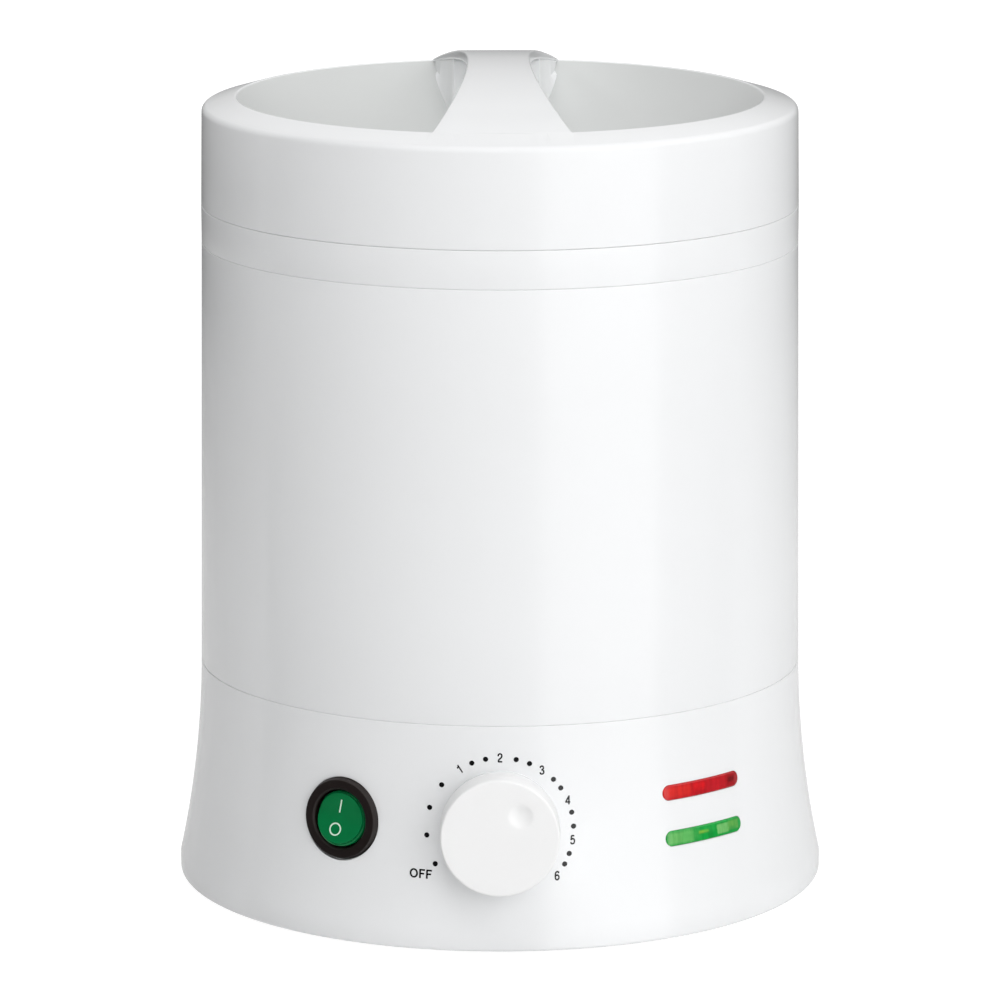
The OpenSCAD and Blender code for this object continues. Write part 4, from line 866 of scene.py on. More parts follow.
@dataclass(frozen=True)
class Housing:
    """The flared base, the body shell, the collar ring and what closes the base from below."""

    gap: float = 2.0
    low_r: float = 98.4
    seam_r: float = 91.4
    seam_z: float = 67.3
    curve_r: float = 300.0
    edge_round: float = 4.0
    foot_z: float = 1.0
    edge_soft: float = 1.2
    top_r: float = 90.0
    collar_z: float = 196.0
    collar_top: float = 207.4
    collar_inner_r: float = 84.6
    collar_spigot_r: float = 87.0
    lip_z: float = 193.0
    lip_r: float = 72.0
    wall: float = 2.8
    seam_round: float = 0.35
    spigot_r: float = 87.9
    spigot_wall: float = 2.2
    spigot_depth: float = 6.0
    ledge_r: float = 68.0
    ledge_low: float = 60.3
    ledge_z: float = 63.3
    cover_r: float = 94.0
    cover_z: float = 3.0
    cover_thick: float = 3.0
    cover_step: float = 8.0
    knob_z: float = 37.4
    seat_r: float = 16.8
    seat_y: float = 95.8
    slot_step: float = 8.0
    slot_width: float = 3.0
    slot_length: float = 60.0
    slot_taper: float = 4.0
    slot_clear: float = 7.0
    post_x: float = 13.5
    post_y: float = 34.0
    post_r: float = 2.5
    post_rise: float = 4.0
    screw_r: float = 3.2
    screw_deep: float = 2.0
    plug_r: float = 2.95
    foot_way: float = 82.0
    foot_turns: tuple[int, ...] = (45, 135, 225, 315)
    screw_turns: tuple[int, ...] = (20, 160, 200, 340)

    def flare(self, z: float) -> float:
        """Gives the base's outer radius at a height."""
        cx, cz = self.centre()
        return cx - math.sqrt(self.curve_r ** 2 - (z - cz) ** 2)

    def centre(self) -> Pair:
        """Gives the centre of the arc that the base's side follows.

        Returns:
            Its radius and height.
        """
        top = Vector((self.seam_r, self.seam_z))
        low = Vector((self.low_r, self.gap + self.edge_round))
        chord = low - top
        across = Vector((-chord.y, chord.x)).normalized()
        mid = (top + low) / 2 + across * math.sqrt(self.curve_r ** 2 - (chord.length / 2) ** 2)
        return mid.x, mid.y

    def side_normal(self, point: Vector) -> Vector | None:
        """Gives the base's outward normal.

        Args:
            point: A point in millimetres.

        Returns:
            The normal there, or None where the point is off the side.
        """
        way = math.hypot(point.x, point.y)
        level = self.gap + self.edge_round < point.z < self.seam_z - 0.2
        if not level or abs(way - self.flare(point.z)) > 0.02:
            return None
        cx, cz = self.centre()
        out = (cx - way) / self.curve_r
        return Vector((point.x / way * out, point.y / way * out, (cz - point.z) / self.curve_r))

    def on_side(self, x: float, z: float, proud: float, turn: float = 0.0) -> Triple:
        """Puts a flat point on the base's side.

        Args:
            x: The point's place across.
            z: Its height.
            proud: How far it stands proud.
            turn: How far the side is turned round from the front, in degrees.

        Returns:
            The point.
        """
        y = -math.sqrt((self.flare(z) + proud) ** 2 - x * x)
        c, s = math.cos(math.radians(turn)), math.sin(math.radians(turn))
        return x * c - y * s, x * s + y * c, z

    def base_profile(self) -> list[Pair]:
        """Gives the base's section.

        Returns:
            The section's points.
        """
        low = self.gap + self.edge_round
        side = [(self.flare(z), z) for z in even(self.seam_z - 0.5, low, 26)]
        middle, height = self.low_r - self.edge_soft, self.foot_z + self.edge_soft
        foot = [(middle + self.edge_soft * math.cos(a), height + self.edge_soft * math.sin(a))
                for a in even(0, -math.pi / 2, 10)]
        foot.append((self.cover_r + 0.2, self.foot_z))
        rim = [(self.cover_r, self.foot_z + 0.2), (self.cover_r, self.cover_step)]
        inner = [(self.flare(z) - self.wall, z) for z in (self.cover_step, 24.0, 42.0, self.ledge_low)]
        bore, top = self.spigot_r - self.spigot_wall, self.seam_z + self.spigot_depth
        head = rounded([
            (self.ledge_r, self.ledge_low, 0), (self.ledge_r, self.ledge_z, 0), (bore, self.ledge_z, 0),
            (bore, top, 0), (self.spigot_r, top, 0.4), (self.spigot_r, self.seam_z, 0.1),
            (self.seam_r, self.seam_z, self.seam_round), (*side[0], 0)], 4, closed=False)
        return head + side[1:] + foot + rim + inner

    def base(self) -> Piece:
        """Makes the base with its seats for the switch, the windows, the knob and the inlet.

        Returns:
            The base.
        """
        piece = Shape().lathe(self.base_profile(), segments=320).build("base_shell")
        seat = Shape().plug(self.seat_r, 60, self.seat_y, 96).moved(shift(0, 0, self.knob_z) @ spin(90, "X"))
        carve(piece, [seat.build("seat")], join=True)
        tools = [Switch().seat_tool(), Inlet().seat_tool()]
        tools += [Windows().slot_tool(z) for z in (Windows.red_z, Windows.green_z)]
        carve(piece, tools)
        true_normals(piece, self.side_normal)
        return piece

    def shell(self) -> Piece:
        """Makes the tall body shell.

        Returns:
            The shell.
        """
        lean = self.top_r - self.seam_r
        height = self.collar_z - self.seam_z
        outer = [(self.seam_r + lean * t, self.seam_z + height * t) for t in (0, 0.25, 0.5, 0.75, 1)]
        profile = rounded([
            (outer[0][0] - self.wall, self.seam_z, 0.2), (*outer[0], self.seam_round),
            *((*p, 0) for p in outer[1:-1]), (*outer[-1], self.seam_round),
            (outer[-1][0] - self.wall, self.collar_z, 0.2)], 4)
        return Shape().lathe(profile).build("body_tube")

    def collar(self) -> Piece:
        """Makes the collar ring with its inner lip.

        Returns:
            The collar.
        """
        low = self.collar_z - self.spigot_depth
        profile = rounded([
            (self.collar_spigot_r, self.collar_z, 0), (self.top_r, self.collar_z, self.seam_round),
            (self.top_r, self.collar_top, self.seam_round), (self.collar_inner_r, self.collar_top, 0.4),
            (self.collar_inner_r, self.lip_z, 0.3), (self.lip_r, self.lip_z, 0.3),
            (self.lip_r, low, 0), (self.collar_spigot_r, low, 0.3)], 4)
        return Shape().lathe(profile).build("collar")

    def cover(self) -> Piece:
        """Makes the bottom cover with its rows of air slots and its recessed screw seats.

        Returns:
            The cover.
        """
        low, high = self.cover_z, self.cover_z + self.cover_thick
        profile = rounded([(0, low, 0), (self.cover_r - 0.3, low, 0.5), (self.cover_r - 0.3, high, 0.3),
                           (0, high, 0)], 3, closed=False)
        piece = Shape().lathe(profile, closed=False, segments=192).build("bottom_plate")
        tools = Shape()
        for row in range(-4, 5):
            y = row * self.slot_step
            if abs(y - self.post_y) > self.slot_clear:
                outline = stadium(self.slot_length - self.slot_taper * abs(row), self.slot_width)
                tools.prism([[(x, y + v, z) for x, v in outline] for z in (low - 1, high + 1)])
        for angles, radius, top in ((self.screw_turns, self.screw_r, low + self.screw_deep),
                                    (self.foot_turns, self.plug_r, high + 1)):
            for angle in angles:
                tools.join(Shape().plug(radius, low - 1, top).moved(spin(angle) @ shift(self.foot_way, 0, 0)))
        for side in (-1, 1):
            post = Shape().plug(self.post_r, high - 0.5, high + self.post_rise)
            carve(piece, [post.moved(shift(side * self.post_x, self.post_y, 0)).build("post")], join=True)
        return fine_edge(carve(piece, [tools.build("slots")]), 0.25)

    def feet(self) -> Piece:
        """Makes the four rubber feet with their plugs.

        Returns:
            The feet, as one piece.
        """
        low, high = self.cover_z, self.cover_z + self.cover_thick
        foot = rounded([(0, 0, 0), (7.4, 0, 0.7), (8.0, low, 0.15), (2.85, low, 0), (2.85, high, 0),
                        (3.8, high, 0.2), (2.3, high + 2, 0.3), (0, high + 2, 0)], 4, closed=False)
        shape = Shape()
        for angle in self.foot_turns:
            one = Shape().lathe(foot, closed=False, segments=64)
            shape.join(one.moved(spin(angle) @ shift(self.foot_way, 0, 0)))
        return shape.build("feet")

    def dress(self) -> None:
        """Makes and finishes the housing's pieces."""
        for make, finish, node in (
                (self.base, WHITE_ABS, "base_housing"), (self.shell, WHITE_ABS, "body_shell"),
                (self.collar, WHITE_ABS, "collar_ring"), (self.cover, WHITE_ABS, "bottom_cover"),
                (self.feet, FOOT_RUBBER, "rubber_feet")):
            put(make(), finish, Body.HOUSING, [node])


def stadium(length: float, width: float, steps: int = 16) -> list[Pair]:
    """Gives the outline of a bar with round ends.

    Args:
        length: Its length over the ends.
        width: Its width.
        steps: How many steps make one end.

    Returns:
        The outline's points.
    """
    half, r = (length - width) / 2, width / 2
    right = [(half + r * math.cos(a), r * math.sin(a)) for a in even(-math.pi / 2, math.pi / 2, steps)]
    return right + [(-x, -y) for x, y in right]


# Controls on the base


@dataclass(frozen=True)
class Knob:
    """The thermostat knob, with the round dimple that points."""

    back_y: float = 96.199
    axis_z: float = 37.4
    back_r: float = 17.6
    face_r: float = 17.45
    depth: float = 9.5
    edge: float = 0.7
    wall: float = 2.0
    roof: float = 2.6
    hub_r: float = 6.5
    shaft_r: float = 3.0
    dimple_r: float = 3.4
    dimple_way: float = 9.0
    dimple_turn: float = 42.0
    dimple_ball: float = 6.05
    dimple_lift: float = 5.0
    dimple_ease: float = 0.3
    dimple_lip: float = 0.6

    def dimple(self) -> Pair:
        """Gives the place of the dimple's middle on the face."""
        a = math.radians(self.dimple_turn)
        return self.dimple_way * math.sin(a), self.dimple_way * math.cos(a)

    def height(self, x: float, y: float) -> float:
        """Gives the face's height, with the dimple as part of a ball and its rim eased.

        Args:
            x: The place across.
            y: The place up the face.

        Returns:
            The height over the knob's back.
        """
        dx, dy = self.dimple()
        way = math.hypot(x - dx, y - dy)
        if way > self.dimple_r + self.dimple_lip:
            return self.depth
        gap = math.sqrt(max(self.dimple_ball ** 2 - way ** 2, 0.01)) - self.dimple_lift
        return self.depth - 0.5 * (gap + math.hypot(gap, self.dimple_ease))

    def face(self) -> Shape:
        """Makes the face as rings that start round the dimple and grow into the knob's own circle.

        Returns:
            The knob, with its face along Z.
        """
        dx, dy = self.dimple()
        edge_r = self.face_r - self.edge
        inner = self.dimple_r + self.dimple_lip
        turns = circle(1.0, 144)
        rows = [[(dx + r * c, dy + r * s) for c, s in turns] for r in even(0, inner, 28)]
        for step in range(1, 9):
            row = []
            for c, s in turns:
                b = dx * c + dy * s
                reach = -b + math.sqrt(b * b - dx * dx - dy * dy + edge_r ** 2)
                r = inner + (reach - inner) * step / 8
                row.append((dx + r * c, dy + r * s))
            rows.append(row)
        placed = [[(x, y, self.height(x, y)) for x, y in row] for row in rows]
        side = [(edge_r + self.edge * math.cos(t), self.depth - self.edge + self.edge * math.sin(t))
                for t in even(math.radians(90), math.radians(5), 7)[1:]]
        inner_r, roof = self.back_r - self.wall, self.depth - self.roof
        side += rounded([(self.face_r, self.depth - 2, 0), (self.back_r, 0, 0.25), (inner_r, 0, 0.25),
                         (inner_r - 0.3, roof, 0.5), (self.hub_r, roof, 0.4), (self.hub_r, 0.3, 0.3),
                         (self.shaft_r, 0.3, 0), (self.shaft_r, roof, 0), (0, roof, 0)], 3, closed=False)[1:]
        placed += [[(x * r / edge_r, y * r / edge_r, z) for x, y in rows[-1]] for r, z in side]
        return Shape().rows(placed)

    def dress(self) -> None:
        """Makes and finishes the knob."""
        shape = self.face().moved(shift(0, -self.back_y, self.axis_z) @ spin(90, "X"))
        put(shape.build("thermostat_knob", 40), SATIN_ABS, Body.KNOB, ["control_knob"])


@dataclass(frozen=True)
class Dial:
    """The dial printed around the knob: dots, the numbers 1 to 6, and OFF."""

    centre_z: float = 36.5
    ring_r: float = 21.5
    dot_r: float = 0.76
    digit_h: float = 2.65
    digit_weight: float = 0.175
    word_h: float = 2.6
    word_w: float = 6.5
    word_weight: float = 0.185
    word_at: Pair = (-23.2, 23.2)
    space: float = 0.12
    proud: float = 0.04
    depth: float = 0.02
    lean: float = 33.0
    numbers: tuple[tuple[str, float, float], ...] = (
        ("1", -33.5, 0.34), ("2", 0.0, 0.57), ("3", 34.7, 0.57), ("4", 66.8, 0.57), ("5", 98.8, 0.57),
        ("6", 129.0, 0.57))
    dots: tuple[float, ...] = (-118.2, -95.1, -73.1, -52.4, -22.5, -11.3, 12.7, 23.6, 46.5, 55.6, 77.1, 88.2,
                               109.7, 118.4)

    def glyph(self, sign: str, weight: float) -> Shape:
        """Makes a flat letter or digit of height 1.

        Args:
            sign: The letter or digit.
            weight: The width of its strokes.

        Returns:
            The sign, centred, with its thickness along Z.
        """
        parts = []
        for smooth, path in STROKES[sign]:
            points = flowing(path, 6) if smooth else list(path)
            parts.append(Shape().ribbon(points, weight, path[0] == path[-1]).build("stroke"))
        whole = carve(parts[0], parts[1:], join=True) if len(parts) > 1 else parts[0]
        shape = Shape()
        shape.points = [vertex.co / MM for vertex in whole.data.vertices]
        shape.faces = [tuple(face.vertices) for face in whole.data.polygons]
        discard(whole)
        return shape

    def word(self, text: str, height: float, width: float, weight: float) -> Shape:
        """Sets signs side by side, about the origin.

        Args:
            text: The letters or digits.
            height: Their height.
            width: The whole width.
            weight: The strokes' width against the height.

        Returns:
            The letters, with their thickness along Z.
        """
        shape = Shape()
        at = 0.0
        for sign in text:
            one = self.glyph(sign, weight)
            left = min(p.x for p in one.points)
            right = max(p.x for p in one.points)
            shape.join(one.moved(shift(at - left, -0.5, 0)))
            at += right - left + self.space
        wide = at - self.space
        return shape.mapped(lambda p: ((p.x / wide - 0.5) * width, p.y * height, p.z))

    def spot(self, angle: float) -> Pair:
        """Gives the place on the dial's ring at an angle clockwise from the top."""
        a = math.radians(angle)
        return self.ring_r * math.sin(a), self.centre_z + self.ring_r * math.cos(a)

    def dress(self, housing: Housing) -> None:
        """Prints the dial on the base.

        Args:
            housing: The housing whose side carries it.
        """
        shape = Shape()
        for angle in self.dots:
            shape.join(Shape().plug(self.dot_r, -0.5, 0.5, 28).moved(shift(*self.spot(angle), 0)))
        for text, angle, wide in self.numbers:
            shape.join(self.word(text, self.digit_h, self.digit_h * wide, self.digit_weight).moved(
                shift(*self.spot(angle), 0) @ spin(self.lean if text == "1" else 0)))
        shape.join(self.word("OFF", self.word_h, self.word_w, self.word_weight).moved(
            shift(*self.word_at, 0) @ spin(-2)))
        shape.mapped(lambda p: housing.on_side(p.x, p.y, self.proud if p.z > 0 else -self.depth))
        put(shape.build("dial_print"), PAD_INK, Body.HOUSING)


@dataclass(frozen=True)
class Switch:
    """The round rocker switch: its bezel, its housing and the tilted cap with its two signs."""

    turn: float = -30.0
    centre_z: float = 36.8
    tilt: float = 3.5
    roll: float = 9.0
    sunk: float = 0.8
    bezel_r: float = 12.3
    bezel_thick: float = 2.0
    barrel_r: float = 9.8
    barrel_len: float = 16.0
    open_r: float = 8.7
    cap_r: float = 8.3
    pivot: float = 0.5
    rock: float = 8.0
    crown: float = 1.2
    cap_low: float = -5.0
    sign_width: float = 0.43
    sign_ring: float = 1.73
    clearance: float = 0.15
    face_r: float = 7.4
    valley: float = 1.6
    rim: Table = ((7.44, 0.06), (7.48, 0.3), (7.52, 0.66), (7.6, 0.7), (7.68, 0.6), (7.95, 0.78),
                  (8.14, 1.02), (8.26, 1.5))
    rim_drop: float = 1.9

    def frame(self) -> Matrix:
        """Gives the switch's own frame: Z out of the panel, Y up it."""
        way = Housing().flare(self.centre_z) - self.sunk
        return (spin(self.turn) @ shift(0, -way, self.centre_z) @ spin(90 - self.tilt, "X")
                @ spin(-self.roll))

    def seat_tool(self) -> Piece:
        """Makes the tool that cuts the switch's seat into the base.

        Returns:
            The tool.
        """
        way, seat = self.barrel_r + self.clearance, self.bezel_r + self.clearance
        profile = [(0, -20), (way, -20), (way, 0), (seat, 0), (seat, 20), (0, 20)]
        return Shape().lathe(profile, closed=False, segments=128).moved(self.frame()).build("switch_seat")

    def bezel(self) -> Piece:
        """Makes the bezel and the housing behind it, with rounded lips.

        Returns:
            The bezel.
        """
        profile = rounded([
            (self.bezel_r, 0, 0.1), (self.bezel_r - 0.7, self.bezel_thick, 0.3),
            (self.open_r + 0.55, self.bezel_thick + 0.12, 0.35), (self.open_r, self.bezel_thick - 0.45, 0.2),
            (self.open_r, self.bezel_thick - 8, 0), (0, self.bezel_thick - 8, 0),
            (0, -self.barrel_len, 0), (self.barrel_r, -self.barrel_len, 0.4), (self.barrel_r, 0, 0)], 5)
        shape = Shape().lathe(profile, closed=True, segments=160)
        return shape.moved(self.frame()).build("switch_bezel", 40)

    def cap_height(self, x: float, y: float) -> float:
        """Gives the cap's face, a shallow valley across the pivot, in the cap's own tilted frame."""
        slope = math.tan(math.radians(self.rock))
        return self.crown + slope * (math.sqrt(y * y + self.valley ** 2) - self.valley) - 0.004 * x * x

    def cap_frame(self) -> Matrix:
        """Gives the cap's frame, tilted so that the I side is pressed in."""
        return self.frame() @ shift(0, 0, self.pivot) @ spin(-self.rock, "X")

    def cap(self) -> Piece:
        """Makes the translucent cap: face, stepped rim and side.

        Returns:
            The cap.
        """
        count = 128
        section = [(r, 0.0) for r in even(0, self.face_r, 19)] + [*self.rim, (self.cap_r, self.rim_drop)]
        placed = [[(x, y, self.cap_height(x, y) - drop) for x, y in circle(r, count)] for r, drop in section]
        ball = self.cap_r + 0.25
        for z in (-1.5, -3.2, self.cap_low):
            r = min(self.cap_r, math.sqrt(ball ** 2 - z * z))
            placed.append([(x, y, z) for x, y in circle(r, count)])
        placed.append([(0, 0, self.cap_low)] * count)
        return Shape().rows(placed).moved(self.cap_frame()).build("rocker_cap", 50)

    def signs(self) -> Piece:
        """Makes the I and the O, thin on the cap's face.

        Returns:
            The signs, as one piece.
        """
        half, way, left = self.sign_width / 2, self.sign_ring, -0.5
        shape = Shape().prism([[(left - half, y, 0), (left + half, y, 0), (left + half, y, 1),
                                (left - half, y, 1)] for y in even(1.6, 5.5, 9)])
        ring = Shape().lathe([(way + half, 0), (way + half, 1), (way - half, 1), (way - half, 0)],
                             segments=64)
        shape.join(ring.moved(shift(left, -3.5, 0)))
        shape.mapped(lambda p: (p.x, p.y, self.cap_height(p.x, p.y) + (0.045 if p.z > 0.5 else -0.02)))
        return shape.moved(self.cap_frame()).build("rocker_signs")

    def dress(self) -> None:
        """Makes and finishes the switch."""
        put(self.bezel(), DARK_NYLON, Body.HOUSING, ["switch_body"])
        put(self.cap(), GREEN_CAP, Body.ROCKER, ["rocker"])
        put(self.signs(), SIGN_INK, Body.ROCKER)


@dataclass(frozen=True)
class Windows:
    """The two indicator windows, which follow the base's curve and stand a little proud."""

    turn: float = 40.4
    red_z: float = 43.8
    green_z: float = 30.2
    length: float = 30.0
    height: float = 4.6
    proud: float = 0.3
    depth: float = 2.6
    clearance: float = 0.05
    edge: float = 0.55
    crown: float = 0.06
    ridge: float = 0.05

    def slot_tool(self, z: float) -> Piece:
        """Makes the tool that cuts one window's slot.

        Args:
            z: The window's height.

        Returns:
            The tool.
        """
        ring = stadium(self.length + 2 * self.clearance, self.height + 2 * self.clearance, 20)
        shape = Shape().prism([[(x, -way, z + y) for x, y in ring] for way in (70, 110)])
        return shape.moved(spin(self.turn)).build("slot")

    def pane(self, name: str, z: float) -> Piece:
        """Makes one window as rings that climb its rounded edge and close on its middle line.

        Args:
            name: The piece's name.
            z: The window's height.

        Returns:
            The window.
        """
        housing = Housing()
        rings: list[Pair] = [(0, -self.depth), (0, -0.2)]
        rings += [(self.edge * (1 - math.cos(a)), self.proud - self.edge * (1 - math.sin(a)))
                  for a in even(0, math.pi / 2, 6)[1:]]
        rings += [(self.edge + (self.height / 2 - self.edge - self.ridge) * i / 5,
                   self.proud + self.crown * math.sin(math.pi / 2 * i / 5)) for i in range(1, 6)]
        placed = []
        for inset, lift in rings:
            outline = stadium(self.length - 2 * inset, self.height - 2 * inset, 20)
            dense: list[Pair] = []
            for (x0, y0), (x1, y1) in zip(outline, outline[1:] + outline[:1]):
                parts = 14 if abs(x1 - x0) > 10 else 1
                dense += [(x0 + (x1 - x0) * i / parts, y0 + (y1 - y0) * i / parts) for i in range(parts)]
            placed.append([housing.on_side(x, z + y, lift, self.turn) for x, y in dense])
        return Shape().prism(placed).build(name, 50)

    def dress(self) -> None:
        """Makes and finishes the windows."""
        put(self.pane("red_pane", self.red_z), RED_PANE, Body.HOUSING, ["red_lens"])
        put(self.pane("green_pane", self.green_z), GREEN_PANE, Body.HOUSING, ["green_lens"])


@dataclass(frozen=True)
class Inlet:
    """The mains inlet in the rear wall, with its socket for the lead's connector."""

    seat_y: float = 90.415
    centre_z: float = 37.4
    flange: Pair = (50.0, 22.5)
    thick: float = 2.5
    body: Pair = (27.0, 19.5)
    body_depth: float = 20.0
    socket: Pair = (24.0, 16.4)
    socket_depth: float = 17.0
    socket_cut: float = 5.0
    screw_gap: float = 40.0

    def block(self, name: str, size: Pair, spare: float, inner: float, outer: float) -> Piece:
        """Makes a block about the inlet's axis.

        Args:
            name: The block's name.
            size: Its width and height.
            spare: What is added to them on each side.
            inner: How far it starts behind the seat, where more is further out.
            outer: How far it ends.

        Returns:
            The block.
        """
        w, h = size[0] / 2 + spare, size[1] / 2 + spare
        return Shape().box((-w, self.seat_y + inner, self.centre_z - h),
                           (w, self.seat_y + outer, self.centre_z + h)).build(name)

    def seat_tool(self) -> Piece:
        """Makes the tool that cuts the inlet's seat into the base."""
        seat = self.block("inlet_seat", self.flange, 0.3, 0, 30)
        return carve(seat, [self.block("inlet_way", self.body, 0.15, -15, 1)], join=True)

    def dress(self) -> None:
        """Makes and finishes the inlet."""
        piece = carve(self.block("inlet_moulding", self.flange, 0, 0, self.thick),
                      [self.block("rear", self.body, 0, -self.body_depth, 1)], join=True)
        face = self.seat_y + self.thick
        sw, sh, cut = self.socket[0] / 2, self.socket[1] / 2, self.socket_cut
        # The earth pin's side has the cut corners
        ring = [(-sw, -sh), (sw, -sh), (sw, sh - cut), (sw - cut, sh), (-sw + cut, sh), (-sw, sh - cut)]
        tools = [Shape().prism([[(x, y, self.centre_z + z) for x, z in ring]
                                for y in (face - self.socket_depth, face + 1)]).build("socket")]
        for side in (-1, 1):
            spot = shift(side * self.screw_gap / 2, self.seat_y, self.centre_z) @ spin(-90, "X")
            tools.append(Shape().plug(1.6, -2, 6, 32).moved(spot).build("hole"))
        fine_edge(carve(piece, tools), 0.3, 3)
        put(piece, DARK_NYLON, Body.HOUSING, ["inlet_body"])


# Pot and bail


@dataclass(frozen=True)
class Pot:
    """The lift-out pot and its bail handle."""

    low: float = 85.8
    inner_r: float = 63.0
    outer_r: float = 64.5
    flange_z: float = 194.8
    flange_r: float = 80.0
    flange_top: float = 196.0
    curl: float = 1.2
    corner: float = 6.0
    bail_z: float = 199.7
    bow_r: float = 73.0
    bend: float = 4.0
    wire_r: float = 2.0
    end_x: float = 78.0

    def vessel(self) -> Piece:
        """Makes the spun pot: rounded corners, a drawn neck and a curled edge.

        Returns:
            The pot.
        """
        top = self.flange_top + self.curl
        profile = rounded([
            (0, self.low, 0), (self.outer_r, self.low, self.corner), (self.outer_r, self.flange_z, 0.35),
            (self.flange_r, self.flange_z, 0.6), (self.flange_r, top, 0.68),
            (self.flange_r - 1.4, top, 0.65), (self.flange_r - 1.4, self.flange_top, 0.5),
            (self.inner_r, self.flange_top, 2.2), (self.inner_r, self.low + 1.5, self.corner - 1.5),
            (0, self.low + 1.5, 0)], 8, closed=False)
        return Shape().lathe(profile, closed=False).build("spun_pot")

    def bail(self) -> Piece:
        """Makes the bow of wire, bent out through the ears and rounded at its ends.

        Returns:
            The bail.
        """
        z, out = self.bail_z, self.bow_r + self.bend
        right = [Vector((x, 0, z)) for x in (self.end_x, self.end_x - 0.35, self.end_x - 1.0, out)]
        right += [Vector((out - self.bend * math.sin(a), self.bend * (1 - math.cos(a)), z))
                  for a in even(0, math.pi / 2, 7)[1:]]
        start = math.asin(self.bend / self.bow_r) + 0.02
        bow = [Vector((self.bow_r * math.cos(a), self.bow_r * math.sin(a), z))
               for a in even(start, math.pi - start, 96)]
        path = right + bow + [Vector((-p.x, p.y, z)) for p in reversed(right)]
        radii = [self.wire_r] * len(path)
        for i, r in ((0, 0.6), (1, 0.85)):
            radii[i] = radii[-1 - i] = self.wire_r * r
        return Shape().pipe(path, radii, 28).build("bail_wire", 50)

    def dress(self) -> None:
        """Makes and finishes the pot and its bail."""
        put(self.vessel(), SPUN_ALUMINIUM, Body.POT, ["wax_pot"])
        put(self.bail(), BRIGHT_WIRE, Body.BAIL, ["bail_handle"])


# Lid


